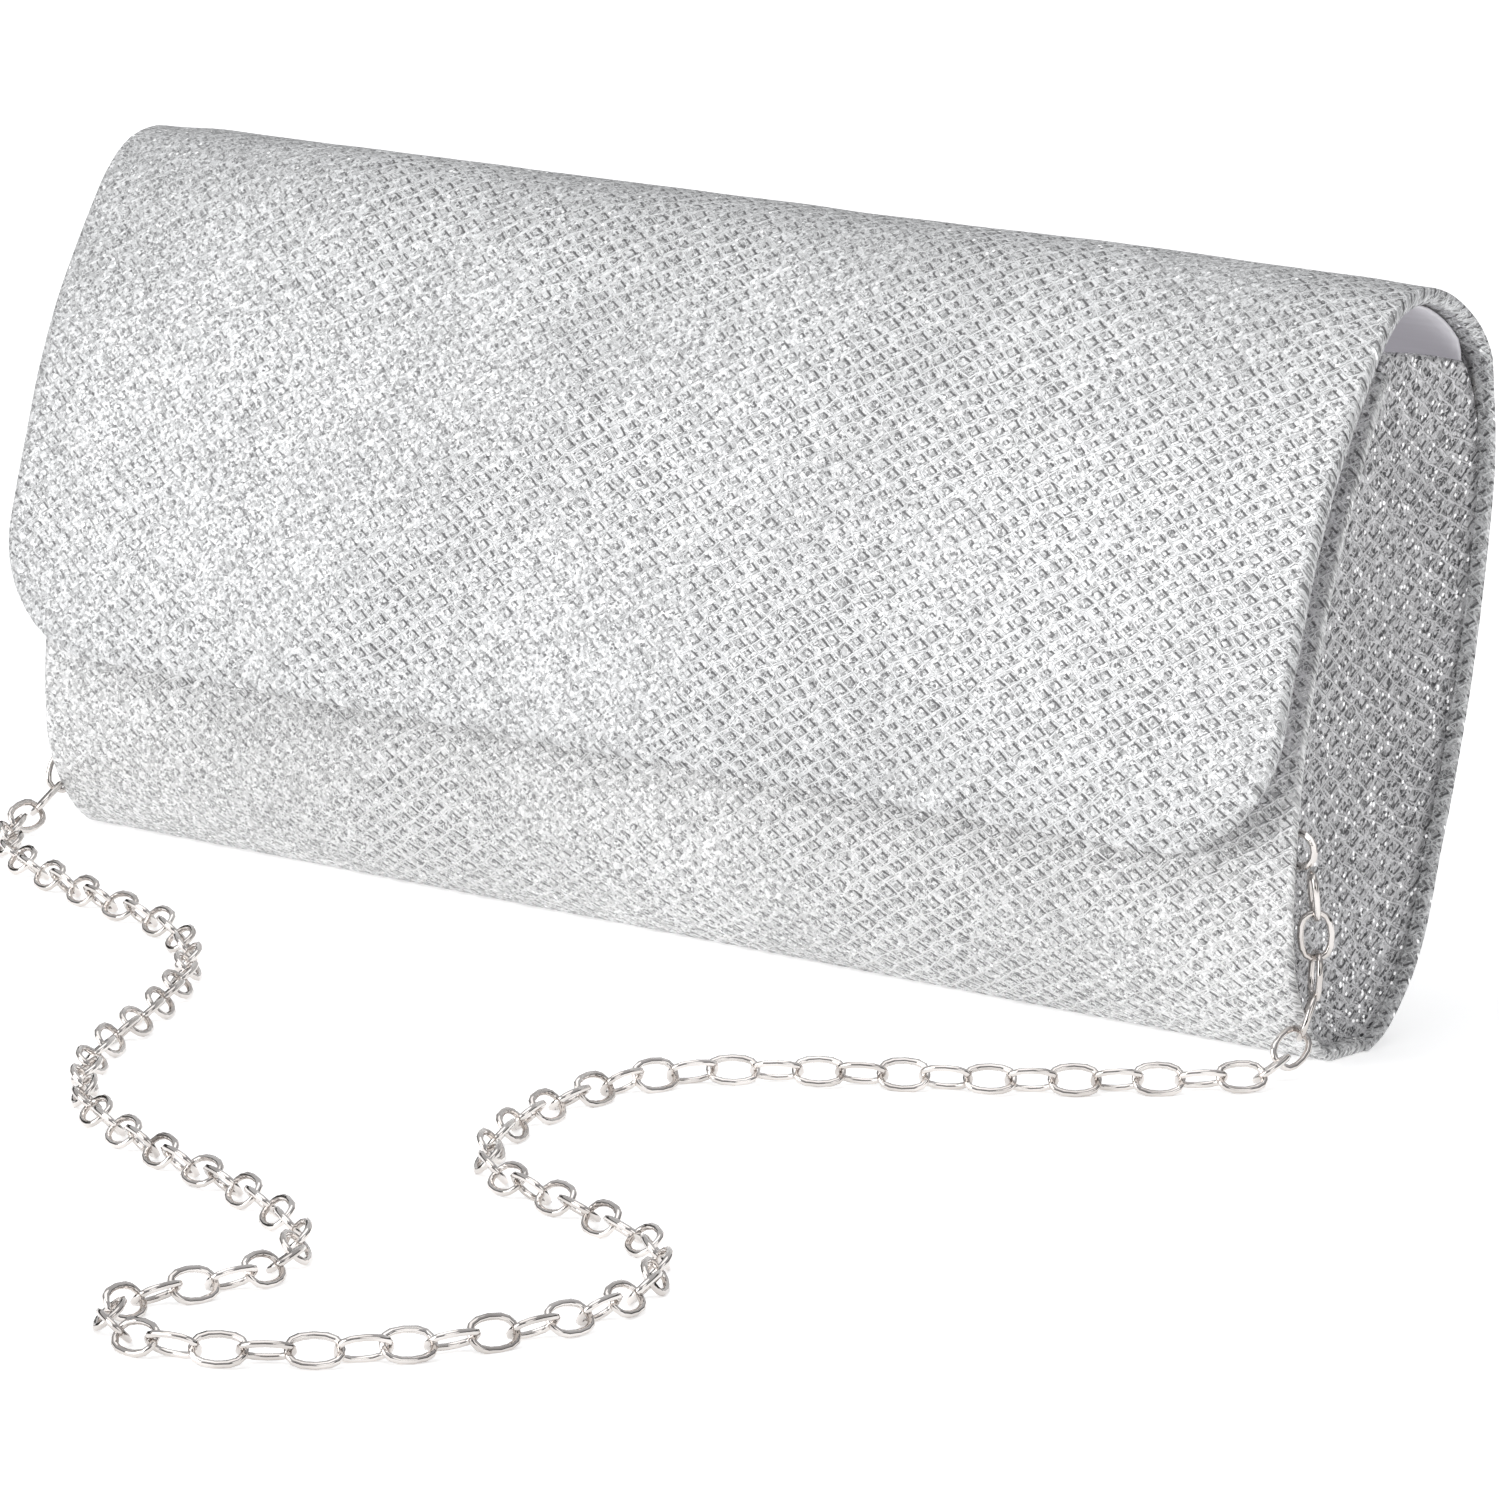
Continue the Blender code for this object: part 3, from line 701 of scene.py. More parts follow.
BRIGHT_FLAP = (0.845, 0.85, 0.855, 1.0)
BRIGHT_BODY = (0.90, 0.90, 0.90, 1.0)
BRIGHT_SIDE_PAINTED_SHADE = (0.71, 0.705, 0.715, 1.0)
silver_mesh = cloth_material("silver_mesh_cloth", {
    "Bright": BRIGHT_FLAP, "Dark": (0.09, 0.09, 0.093, 1.0), "Hole Depth": 1.0,
    "Tone": 0.60, "Grain": 0.90, "Glint": 1.0, "Glint Share": 0.0,
})
silver_mesh_low = cloth_material("silver_mesh_body", {
    "Bright": BRIGHT_BODY, "Dark": (0.10, 0.10, 0.103, 1.0), "Hole Depth": 0.85,
    "Tone": 0.62, "Grain": 0.90, "Glint": 0.8, "Glint Share": 0.0,
})
# The gussets get a darker copy of the same cloth: the dimmer Bright, Dark and Tone are painted shade for the
# side away from the light, and the larger Glint Share paints more glints
silver_mesh_painted_shade_side = cloth_material("silver_mesh_gusset_painted_shade", {
    "Bright": BRIGHT_SIDE_PAINTED_SHADE, "Dark": (0.05, 0.05, 0.053, 1.0), "Hole Depth": 1.0,
    "Tone": 0.50, "Grain": 1.20, "Glint": 1.0, "Glint Share": 0.085,
})
print("cloth materials", silver_mesh.name, silver_mesh_low.name, silver_mesh_painted_shade_side.name)

# %% [markdown]
# ## Back and flap in one piece
# The cloth of the back runs on over the fold into the flap, so it is one long piece here. It is cut
# wide enough for both, its two front corners are rounded, and round the flap its edge turns down and
# under: a few extrusions of the border make the rounded edge and the hem. The padding under it
# makes the flap swell a little inside its edges. Solidify gives the cloth its thickness.

# %% Long run from the base, up the back and over the flap
EDGE_OUT = 0.45
EDGE_ROLL = ((-EDGE_OUT, 0.30), (-0.20, 0.75), (0.20, 0.85), (0.45, 0.50))
HEM_STEPS = (0.7, 1.2, 1.7)
CLOTH = 0.6


def offset_points(run, height, count, first=0.0, last=None):
    """Points along a run, moved out along its normal by a height in mm."""
    last = run.length if last is None else last
    spots = [first + (last - first) * k / count for k in range(count + 1)]
    return [run.place(s) + run.normal(s) * height for s in spots]


flap_outer = offset_points(flap_run, FLAP_THICK, 90)[::-1]
long_run = Run(offset_points(back_run, 0.0, 80)[:-1] + flap_outer, -1)
fold_at = back_run.length
flap_end = long_run.length
print("cut length of back and flap", round(flap_end, 1), "mm")


def flap_share(along):
    """0 on the back, 1 on the flap, with a short change at the fold."""
    return min(1.0, max(0.0, (along - fold_at - 0.5) / 7.0))


def widen_to_flap(piece_bm, half_back, flap_low, flap_high, share_of):
    """The flap is cut a little wider than the back, and more so to the left."""
    for vert in piece_bm.verts:
        share = share_of(vert.co.y)
        middle = (flap_low + flap_high) / 2.0 * share
        half = half_back + ((flap_high - flap_low) / 2.0 - half_back) * share
        vert.co.x = middle + vert.co.x / half_back * half


def to_middle(x_low, x_high, y_low, y_high):
    """A function that gives the flat unit step from a border point towards the middle of a piece."""

    def step_from(point):
        centre = Vector((min(max(point.x, x_low), x_high), min(max(point.y, y_low), y_high), 0.0))
        step = centre - Vector((point.x, point.y, 0.0))
        return step.normalized() if step.length > 0.01 else Vector((0.0, 0.0, 0.0))

    return step_from


def face_towards(piece_bm, way):
    """Turn a piece's faces over, if need be, so that together they look one way."""
    piece_bm.normal_update()
    if sum(face.normal.dot(way) for face in piece_bm.faces) < 0:
        bmesh.ops.reverse_faces(piece_bm, faces=piece_bm.faces)


# %% Cut, hem and fold the back and flap
def make_back_and_flap():
    piece_bm = flat_piece(-HALF_WIDTH, HALF_WIDTH, flap_end, step=2.1)
    widen_to_flap(piece_bm, HALF_WIDTH, FLAP_LEFT + EDGE_OUT, FLAP_RIGHT - EDGE_OUT, flap_share)
    round_corner(piece_bm, FLAP_RIGHT - EDGE_OUT, flap_end, FLAP_CORNER)
    round_corner(piece_bm, FLAP_LEFT + EDGE_OUT, flap_end, FLAP_CORNER)
    face_towards(piece_bm, UP)
    inward = to_middle(FLAP_LEFT + FLAP_CORNER, FLAP_RIGHT - FLAP_CORNER, 0.0, flap_end - FLAP_CORNER)
    edges = [edge for edge in border_edges(piece_bm) if max(v.co.y for v in edge.verts) > 0.01]
    for bite, drop in EDGE_ROLL:
        edges = extrude_border(
            piece_bm, edges,
            lambda p, bite=bite, drop=drop: inward(p) * bite
            + Vector((0, 0, -drop * (0.45 + 0.55 * flap_share(p.y)))),
        )
    for bite in HEM_STEPS:
        edges = extrude_border(piece_bm, edges, lambda p, bite=bite: inward(p) * bite)
    write_uv(piece_bm)
    for vert in piece_bm.verts:
        x, along, height = vert.co
        if height > -0.01:
            share = flap_share(along)
            edge = min(x - FLAP_LEFT, FLAP_RIGHT - x, flap_end - along)
            inside = min(1.0, max(0.0, edge / 15.0))
            inside = inside * inside * (3.0 - 2.0 * inside)
            off_fold = min(1.0, abs(along - fold_at) / 12.0) * min(1.0, along / 14.0)
            swell = 0.45 * inside * share
            uneven = 0.42 * ripple(x, along, 46.0, 3.0) * inside + 0.14 * ripple(x, along, 13.0, 8.0)
            vert.co.z = (swell + uneven) * off_fold
    fold(piece_bm, long_run)
    return piece_bm


back_and_flap = finish_piece(
    "back_and_flap_cloth", make_back_and_flap(), None, ("back_panel", "flap_cover"),
)
thicken(back_and_flap, CLOTH)
back_and_flap.data.materials.append(silver_mesh)
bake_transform(back_and_flap)
print("back and flap", len(back_and_flap.data.polygons), "faces")

# %% [markdown]
# ## Front and base
# The front is one piece too: it starts inside the mouth as a turned hem, rolls over the edge, comes
# down the front and goes on under the bag as its base. Its two sides roll in to the gusset seams.
# The base stays flat, because the bag stands on it.

# %% Front run, with the base added
BASE_WIDTH = 9
base_line = [front_run.points[-1] + Vector((k, 0.0)) for k in range(1, BASE_WIDTH + 1)]
front_and_base = Run(front_run.points + base_line, -1)
front_end = front_and_base.length
base_at = front_run.length
SIDE_OUT = 0.35
SIDE_ROLL = ((-SIDE_OUT, 0.25), (-0.10, 0.55), (0.15, 0.55), (0.55, 0.45), (0.95, 0.20), (1.2, 0.0))
MOUTH_HEM = (1.4, 1.7, 1.8)
MOUTH_ROLL = ((-0.55, 0.35), (-0.35, 0.85), (0.25, 0.95), (0.75, 0.65))


def make_front():
    piece_bm = flat_piece(-HALF_WIDTH + SIDE_OUT, HALF_WIDTH - SIDE_OUT, front_end, step=2.1)
    face_towards(piece_bm, UP)
    side_in = to_middle(-60.0, 60.0, -100.0, 400.0)
    edges = border_edges(piece_bm, lambda p: abs(p.x) > HALF_WIDTH - SIDE_OUT - 0.05)
    for bite, drop in SIDE_ROLL:
        edges = extrude_border(
            piece_bm, edges, lambda p, bite=bite, drop=drop: side_in(p) * bite + Vector((0, 0, -drop)),
        )
    edges = border_edges(piece_bm, lambda p: p.y < 0.01 and abs(p.x) < GUSSET_FACE)
    for bite, drop in MOUTH_ROLL:
        edges = extrude_border(piece_bm, edges, lambda p, bite=bite, drop=drop: Vector((0, bite, -drop)))
    for bite in MOUTH_HEM:
        edges = extrude_border(piece_bm, edges, lambda p, bite=bite: Vector((0, bite, 0)))
    write_uv(piece_bm)
    for vert in piece_bm.verts:
        x, along, height = vert.co
        if height > -0.01 and along > 0.0:
            edge = min(1.0, max(0.0, (HALF_WIDTH - abs(x)) / 16.0))
            off_ends = min(1.0, along / 10.0) * min(1.0, max(0.0, base_at - 14.0 - along) / 16.0)
            uneven = 0.40 * ripple(x, along, 40.0, 21.0) * edge + 0.12 * ripple(x, along, 12.0, 5.0)
            vert.co.z = (uneven - 0.25) * off_ends
    fold(piece_bm, front_and_base)
    return piece_bm


front_cloth = finish_piece(
    "front_cloth", make_front(), "body", ("front_panel", "base_panel"),
)
thicken(front_cloth, CLOTH)
front_cloth.data.materials.append(silver_mesh_low)
print("front", len(front_cloth.data.polygons), "faces")

# %% [markdown]
# ## Gussets
# A gusset is the small side wall that is sewn in between front and back. It is a flat grid whose
# rows reach from the front seam to the back seam, so it fits the bag's drop shape exactly. Its middle
# is drawn in a little, because nothing but air is behind it, and its top edge is turned down inside.

# %% Make a gusset
GUSSET_DRAW = 1.1
GUSSET_CLOTH = 0.5
GUSSET_TURN = (0.25, 0.65, 1.0, 1.5, 2.3, 3.2, 4.4)
gusset_top = Run(smooth_line(GUSSET_TOP), 1)


def make_gusset(side):
    rows, columns = 52, 20
    piece_bm = bmesh.new()
    uv = piece_bm.loops.layers.uv.new("flat")
    bmesh.ops.create_grid(piece_bm, x_segments=columns, y_segments=rows, size=0.5)
    bmesh.ops.translate(piece_bm, verts=piece_bm.verts, vec=(0.5, 0.5, 0.0))
    top = border_edges(piece_bm, lambda p: p.y > 0.999)
    for share in GUSSET_TURN:
        made = bmesh.ops.extrude_edge_only(piece_bm, edges=top)
        verts = [item for item in made["geom"] if isinstance(item, bmesh.types.BMVert)]
        for vert in verts:
            vert.co.z = share
        top = [item for item in made["geom"] if isinstance(item, bmesh.types.BMEdge) and item.is_boundary]
        top = [edge for edge in top if all(abs(v.co.z - share) < 1e-6 for v in edge.verts)]
    for vert in piece_bm.verts:
        across, up, turn = vert.co
        down = 1.0 - up
        front = front_run.place(0.6 + (base_at - 0.6) * down)
        front = front - front_run.normal(0.6 + (base_at - 0.6) * down) * 1.1
        back = back_run.place((back_run.length - 0.2) * (1.0 - down) + 0.01)
        back = back - back_run.normal((back_run.length - 0.2) * (1.0 - down) + 0.01) * 1.1
        spot = front.lerp(back, across)
        lift = max(0.0, 1.0 - down / 0.14) ** 2
        spot = spot.lerp(gusset_top.place(gusset_top.length * across), lift)
        spot.y = max(spot.y, 0.9)
        middle = math.sin(math.pi * across)
        off_ends = min(1.0, down / 0.08) * min(1.0, (1.0 - down) / 0.10)
        draw = GUSSET_DRAW * middle ** 0.7 * (0.35 + 0.65 * off_ends)
        draw += 0.22 * ripple(spot.x * 1.4, spot.y * 1.4, 17.0, 31.0 + side) * middle
        if turn > 0.0:
            draw += 1.3 * min(1.0, turn)
            spot.y += 0.35 * math.sin(math.pi * min(1.0, turn)) - max(0.0, turn - 1.0)
        vert.co = (side * (GUSSET_FACE - draw) * MM, spot.x * MM, spot.y * MM)
    for face in piece_bm.faces:
        for loop in face.loops:
            inset = (GUSSET_FACE * MM - abs(loop.vert.co.x)) * 1.5
            loop[uv].uv = (loop.vert.co.y * 0.93 + 0.10, loop.vert.co.z * 0.85 + inset)
    face_towards(piece_bm, Vector((side, 0, 0)))
    return piece_bm


for side, name in ((-1, "left"), (1, "right")):
    gusset = finish_piece(
        "gusset_cloth_" + name, make_gusset(side), "body", ("gusset_" + name,),
    )
    thicken(gusset, GUSSET_CLOTH)
    gusset.data.materials.append(silver_mesh_painted_shade_side)
print("gussets", len(gusset.data.polygons), "faces each")

# %% [markdown]
# ## Satin lining
# A bag like this is lined with thin polyester satin. One long piece lines the back and the flap, so it
# runs on over the fold just as the outer cloth does. Another lines the front and the base, two small ones
# line the gussets, and a patch pocket is sewn to the back. Satin is smooth but never quite flat: it
# puckers in small waves, which are moved in while the piece is still flat.

# %% Shader group for the weave
weave_group, w_in, w_out = group_with(
    "fine_weave",
    [("Place", PLACE, None), ("Thread", FLOAT, 2600.0)],
    [("Weave", FLOAT), ("Streak", FLOAT)],
)
warp = add_node(weave_group, "ShaderNodeTexWave", wave_type="BANDS", bands_direction="X")
weft = add_node(weave_group, "ShaderNodeTexWave", wave_type="BANDS", bands_direction="Y")
for threads in (warp, weft):
    plug(weave_group, w_in.outputs["Place"], threads.inputs["Vector"])
    plug(weave_group, w_in.outputs["Thread"], threads.inputs["Scale"])
    threads.inputs["Distortion"].default_value = 0.6
crossed = math_node(weave_group, "MULTIPLY", warp.outputs["Fac"], weft.outputs["Fac"])
plug(weave_group, crossed, w_out.inputs["Weave"])
stretched = add_node(weave_group, "ShaderNodeMapping")
stretched.inputs["Scale"].default_value = (60.0, 900.0, 60.0)
plug(weave_group, w_in.outputs["Place"], stretched.inputs["Vector"])
streaks = texture(weave_group, "ShaderNodeTexNoise", stretched.outputs[0], 1.0, 3.0)
plug(weave_group, streaks.outputs["Fac"], w_out.inputs["Streak"])

print("weave group nodes", len(weave_group.nodes))

# %% Satin material
satin, tree, shader = new_material("pale_satin")
satin_uv = add_node(tree, "ShaderNodeUVMap", uv_map="flat")
woven = add_node(tree, "ShaderNodeGroup")
woven.node_tree = weave_group
plug(tree, satin_uv.outputs[0], woven.inputs["Place"])
streak = ramp_between(tree, woven.outputs["Streak"], 0.3, 0.7)
satin_tone = mix_colour(tree, streak, (0.505, 0.495, 0.52, 1.0), (0.545, 0.535, 0.565, 1.0))
plug(tree, satin_tone, shader.inputs["Base Color"])
# Painted light: the satin glows a little through the emission below, to lift the shaded lining in the mouth
plug(tree, ramp_between(tree, woven.outputs["Weave"], 0.0, 1.0, 0.30, 0.45), shader.inputs["Roughness"])
set_inputs(shader, {
    "Emission Color": (0.80, 0.78, 0.83, 1.0), "Emission Strength": 0.20,
    "Sheen Weight": 0.25, "Sheen Roughness": 0.4, "Specular IOR Level": 0.65,
})
add_bump(tree, shader, woven.outputs["Weave"], 0.35, 0.00008)
print("satin", len(tree.nodes), "nodes")

# %% Line the back and the flap
SATIN = 0.25
LINING_DEPTH = 3.4
LINING_HALF = 120.8
LINING_INSET = 3.2
back_inner = offset_points(back_run, -LINING_DEPTH, 70, 4.0, back_run.length)
flap_inner = offset_points(flap_run, 0.05, 80, 3.4, flap_run.length)[::-1]
lining_run = Run(back_inner[:-1] + flap_inner, -1)
back_inner_length = Run(back_inner, -1).length


def lining_share(along):
    return min(1.0, max(0.0, (along - back_inner_length + 0.5) / 7.0))


def make_long_lining():
    length = lining_run.length
    piece_bm = flat_piece(-LINING_HALF, LINING_HALF, length, step=2.4)
    low = FLAP_LEFT + LINING_INSET
    high = FLAP_RIGHT - LINING_INSET
    widen_to_flap(piece_bm, LINING_HALF, low, high, lining_share)
    round_corner(piece_bm, high, length, FLAP_CORNER - LINING_INSET)
    round_corner(piece_bm, low, length, FLAP_CORNER - LINING_INSET)
    face_towards(piece_bm, UP)
    inward = to_middle(FLAP_LEFT + FLAP_CORNER, FLAP_RIGHT - FLAP_CORNER, -5.0, length - FLAP_CORNER)
    extrude_border(piece_bm, border_edges(piece_bm), lambda p: inward(p) * -0.25 + Vector((0, 0, 0.45)))
    write_uv(piece_bm)
    for vert in piece_bm.verts:
        x, along, height = vert.co
        share = lining_share(along)
        edge = min(x - low, high - x, length - along) if share > 0.5 else min(LINING_HALF - abs(x), along)
        inside = min(1.0, max(0.0, edge / 9.0))
        pucker = 0.16 * ripple(x, along, 19.0, 41.0) + 0.10 * ripple(x * 0.4, along, 6.0, 12.0)
        vert.co.z += (pucker * inside) if height < 0.2 else 0.0
    fold(piece_bm, lining_run)
    bmesh.ops.reverse_faces(piece_bm, faces=piece_bm.faces)
    return piece_bm


long_lining = finish_piece(
    "back_and_flap_lining", make_long_lining(), None, ("back_lining", "flap_lining"),
)
thicken(long_lining, SATIN)
long_lining.data.materials.append(satin)
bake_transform(long_lining)
print("long lining", len(long_lining.data.polygons), "faces,", round(lining_run.length, 1), "mm long")

# %% Line the front and the base
front_inner = offset_points(front_run, -LINING_DEPTH, 60, 6.0, front_run.length - 9.0)
inner_end = front_inner[-1]
BASE_LINING_END = -1.1
base_inner = [
    Vector((
        inner_end.x + (BASE_LINING_END - inner_end.x) * k / 12.0,
        inner_end.y + (LINING_DEPTH - inner_end.y) * min(1.0, k / 5.0),
    ))
    for k in range(1, 13)
]
front_lining_run = Run(front_inner + base_inner, -1)


def make_front_lining():
    length = front_lining_run.length
    piece_bm = flat_piece(-LINING_HALF, LINING_HALF, length, step=3.0)
    face_towards(piece_bm, UP)
    write_uv(piece_bm)
    for vert in piece_bm.verts:
        x, along, height = vert.co
        inside = min(1.0, max(0.0, min(LINING_HALF - abs(x), along, length - along) / 9.0))
        vert.co.z = (0.14 * ripple(x, along, 21.0, 51.0) + 0.08 * ripple(x * 0.4, along, 6.0, 17.0)) * inside
    fold(piece_bm, front_lining_run)
    bmesh.ops.reverse_faces(piece_bm, faces=piece_bm.faces)
    return piece_bm


front_satin = finish_piece(
    "front_and_base_lining", make_front_lining(), "body", ("front_lining", "base_lining"),
)
thicken(front_satin, SATIN)
front_satin.data.materials.append(satin)
print("front lining", len(front_satin.data.polygons), "faces,", round(front_lining_run.length, 1), "mm long")


# %% Line the gussets
def make_gusset_lining(side):
    piece_bm = bmesh.new()
    uv = piece_bm.loops.layers.uv.new("flat")
    bmesh.ops.create_grid(piece_bm, x_segments=10, y_segments=34, size=0.5)
    bmesh.ops.translate(piece_bm, verts=piece_bm.verts, vec=(0.5, 0.5, 0.0))
    for vert in piece_bm.verts:
        across, up, _ = vert.co
        front = front_lining_run.place((front_lining_run.length - 11.0) * (1.0 - up) + 1.0)
        back = lining_run.place((back_inner_length - 3.0) * up)
        spot = front.lerp(back, across)
        spot.y = max(spot.y, 3.8)
        draw = 0.9 * math.sin(math.pi * across) + 0.15 * ripple(spot.x, spot.y, 9.0, 61.0 + side)
        vert.co = (side * (121.35 - draw) * MM, spot.x * MM, spot.y * MM)
    for face in piece_bm.faces:
        for loop in face.loops:
            loop[uv].uv = (loop.vert.co.y, loop.vert.co.z)
    face_towards(piece_bm, Vector((-side, 0, 0)))
    return piece_bm


for side, name in ((-1, "left"), (1, "right")):
    lining = finish_piece(
        "gusset_satin_" + name, make_gusset_lining(side), "body", ("gusset_lining_" + name,),
    )
    thicken(lining, SATIN)
    lining.data.materials.append(satin)
print("gusset linings", len(lining.data.polygons), "faces each")

# %% [markdown]
# ## Slip pocket
# The pocket is a patch of the same satin on the back wall, open at its top. Its mouth has a narrow
# turned hem and stands a little away from the wall.

# %% Make the pocket
POCKET_LOW = 27.0
POCKET_HIGH = 84.0


def along_at_height(run, height):
    """How far along a rising line its height reaches a value, in mm."""
    along = 0.0
    while run.place(along).y < height:
        along += 0.1
    return along


pocket_low_at = along_at_height(lining_run, POCKET_LOW)
pocket_high_at = along_at_height(lining_run, POCKET_HIGH)


def make_pocket():
    length = pocket_high_at - pocket_low_at
    piece_bm = flat_piece(-60.0, 60.0, length, step=2.4)
    face_towards(piece_bm, UP)
    sides = [edge for edge in border_edges(piece_bm) if not all(v.co.y > length - 0.01 for v in edge.verts)]
    in_from = to_middle(-50.0, 50.0, 10.0, 400.0)
    extrude_border(piece_bm, sides, lambda p: in_from(p) * -0.15 + Vector((0, 0, 0.5)))
    top = border_edges(piece_bm, lambda p: p.y > length - 0.01 and p.z < 0.1)
    top = extrude_border(piece_bm, top, lambda p: Vector((0, 0.25, 0.25)))
    top = extrude_border(piece_bm, top, lambda p: Vector((0, -0.25, 0.25)))
    extrude_border(piece_bm, top, lambda p: Vector((0, -5.0, 0.0)))
    write_uv(piece_bm)
    for vert in piece_bm.verts:
        x, along, height = vert.co
        gape = min(1.0, max(0.0, (60.0 - abs(x)) / 24.0)) * min(1.0, max(0.0, along / length)) ** 2
        pucker = 0.12 * ripple(x, along, 12.0, 71.0) * min(1.0, (60.5 - abs(x)) / 6.0)
        vert.co.z = -0.75 - 0.55 * gape - pucker + height * 0.9
    fold(piece_bm, lining_run, pocket_low_at)
    bmesh.ops.reverse_faces(piece_bm, faces=piece_bm.faces)
    return piece_bm


pocket = finish_piece("slip_pocket_satin", make_pocket(), "body", ("slip_pocket",))
thicken(pocket, 0.2)
pocket.data.materials.append(satin)
print("pocket", len(pocket.data.polygons), "faces")

# %% [markdown]
# ## Nickel, boards and magnet
# The chain, its wire loops and the snap are nickel-plated steel: bright and slightly warm, with fine
# rub marks and a little more roughness where they are worn. The stiffeners are grey board, made of
# pressed paper fibre, and the snap's magnet is dark ferrite.

# %% Shader group for wear
wear_group, r_in, r_out = group_with(
    "fine_wear",
    [("Place", PLACE, None), ("Size", FLOAT, 900.0)],
    [("Rub", FLOAT), ("Cloud", FLOAT)],
)
rub_place = add_node(wear_group, "ShaderNodeMapping")
set_inputs(rub_place, {"Rotation": (0.4, 0.2, 0.7), "Scale": (1.0, 0.12, 1.0)})
plug(wear_group, r_in.outputs["Place"], rub_place.inputs["Vector"])
rub = add_node(wear_group, "ShaderNodeTexNoise")
rub.inputs["Detail"].default_value = 4.0
plug(wear_group, rub_place.outputs[0], rub.inputs["Vector"])
plug(wear_group, r_in.outputs["Size"], rub.inputs["Scale"])
plug(wear_group, rub.outputs["Fac"], r_out.inputs["Rub"])
cloud = texture(wear_group, "ShaderNodeTexNoise", r_in.outputs["Place"], 130.0, 2.0)
plug(wear_group, cloud.outputs["Fac"], r_out.inputs["Cloud"])


def worn_material(name, dark, light, rough, metal, size, bump):
    """A material on Object coordinates whose colour and roughness vary with wear."""
    made, tree, shader = new_material(name)
    coordinate = add_node(tree, "ShaderNodeTexCoord")
    wear = add_node(tree, "ShaderNodeGroup")
    wear.node_tree = wear_group
    wear.inputs["Size"].default_value = size
    plug(tree, coordinate.outputs["Object"], wear.inputs["Place"])
    cloudy = ramp_between(tree, wear.outputs["Cloud"], 0.35, 0.65)
    plug(tree, mix_colour(tree, cloudy, dark, light), shader.inputs["Base Color"])
    rubbed = ramp_between(tree, wear.outputs["Rub"], 0.35, 0.7, rough[0], rough[1])
    plug(tree, rubbed, shader.inputs["Roughness"])
    shader.inputs["Metallic"].default_value = metal
    add_bump(tree, shader, wear.outputs["Rub"], 0.3, bump)
    return made


nickel = worn_material(
    "nickel_plate", (0.60, 0.565, 0.54, 1), (0.78, 0.745, 0.72, 1), (0.05, 0.14), 1.0, 1500.0, 0.00002,
)
board = worn_material(
    "grey_board", (0.30, 0.28, 0.25, 1), (0.42, 0.40, 0.36, 1), (0.8, 0.95), 0.0, 700.0, 0.0001,
)
ferrite = worn_material(
    "ferrite_magnet", (0.035, 0.035, 0.04, 1), (0.06, 0.06, 0.065, 1), (0.4, 0.6), 0.3, 1100.0, 0.00003,
)


def dress(node, finish):
    """Give a CAD node its own finish."""
    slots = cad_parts[node].data.materials
    for index in range(len(slots)):
        slots[index] = finish
    if not len(slots):
        slots.append(finish)


chain.data.materials.append(nickel)
NICKEL_PARTS = ("chain_loop_left", "chain_loop_right", "snap_socket", "snap_socket_plate",
                "snap_stud", "snap_stud_plate")
for node in NICKEL_PARTS:
    dress(node, nickel)
for node in ("front_board", "back_board", "base_board", "flap_board"):
    dress(node, board)
dress("snap_magnet", ferrite)
print("finishes", [m.name for m in (nickel, board, ferrite)])
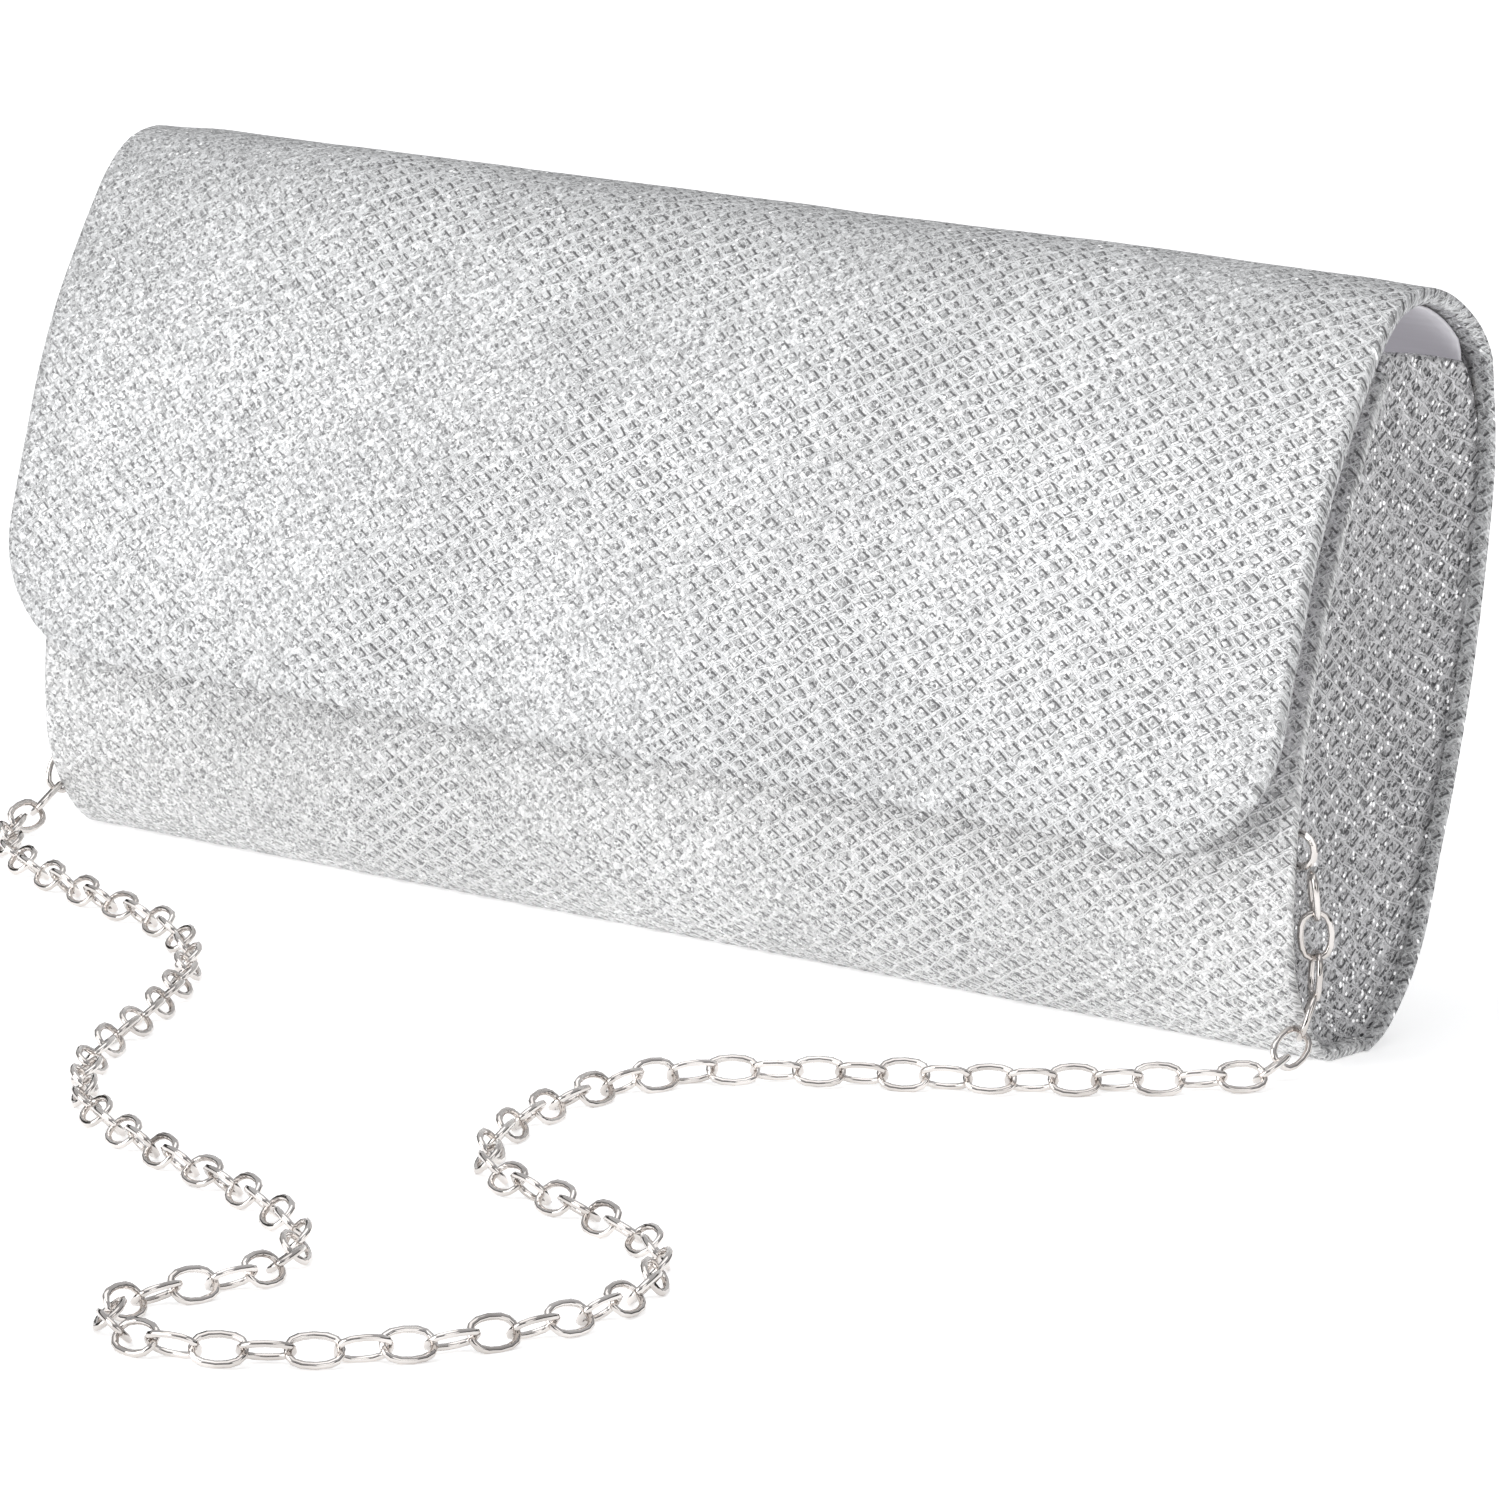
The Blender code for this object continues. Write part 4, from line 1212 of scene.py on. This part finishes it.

# %% [markdown]
# ## Studio
# Small silver goods are shot in a white room: a pale floor that goes on out of sight, soft light from
# everywhere, and one broad light from the front left, so that the front glitters and the gusset on
# the right falls into a quieter grey; the gusset's cloth is also painted darker, as painted shade.
# The sky is brighter on the left than on the right for the same reason, and a dark strip low on the
# walls gives the polished chain its dark lines.

# %% Floor
floor_bm = bmesh.new()
bmesh.ops.create_grid(floor_bm, x_segments=4, y_segments=4, size=9.0)
floor_mesh = bpy.data.meshes.new("studio_floor")
floor_bm.to_mesh(floor_mesh)
floor_bm.free()
floor = bpy.data.objects.new("studio_floor", floor_mesh)
bpy.context.collection.objects.link(floor)
paper, tree, shader = new_material("white_paper")
set_inputs(shader, {
    "Base Color": (0.92, 0.92, 0.92, 1.0), "Roughness": 0.9,
    "Emission Color": (1.0, 1.0, 1.0, 1.0), "Emission Strength": 0.42,
})
floor_mesh.materials.append(paper)

# %% Light
world = bpy.data.worlds.new("studio_sky")
bpy.context.scene.world = world
world.use_nodes = True
sky = world.node_tree
sky_place = add_node(sky, "ShaderNodeTexCoord")
sky_axes = add_node(sky, "ShaderNodeSeparateXYZ")
plug(sky, sky_place.outputs["Generated"], sky_axes.inputs[0])
sky_right = math_node(sky, "MULTIPLY_ADD", sky_axes.outputs["Y"], -0.25, sky_axes.outputs["X"])
sky_shade = ramp_between(sky, sky_right, -0.3, 0.8)
sky_wall = mix_colour(sky, sky_shade, (0.57, 0.575, 0.585, 1.0), (0.39, 0.39, 0.40, 1.0))
strip_foot = ramp_between(sky, sky_axes.outputs["Z"], 0.08, 0.12)
strip_top = ramp_between(sky, sky_axes.outputs["Z"], 0.36, 0.30)
strip = math_node(sky, "MULTIPLY", strip_foot, strip_top)
sky_colour = mix_colour(sky, strip, sky_wall, (0.03, 0.028, 0.025, 1.0))
plug(sky, sky_colour, sky.nodes["Background"].inputs["Color"])
sky.nodes["Background"].inputs["Strength"].default_value = 1.0


def sun(name, energy, spread, towards):
    light = bpy.data.lights.new(name, "SUN")
    light.energy = energy
    light.angle = math.radians(spread)
    made = bpy.data.objects.new(name, light)
    bpy.context.collection.objects.link(made)
    made.rotation_euler = Vector(towards).to_track_quat("-Z", "Y").to_euler()
    return made


sun("overhead_light", 0.8, 60.0, (0.05, 0.1, -1.0))
sun("front_left_light", 1.60, 50.0, (0.42, 0.85, -0.33))
sun("right_fill_light", 0.40, 40.0, (-0.85, 0.25, -0.35))
bpy.context.scene.view_settings.view_transform = "Standard"
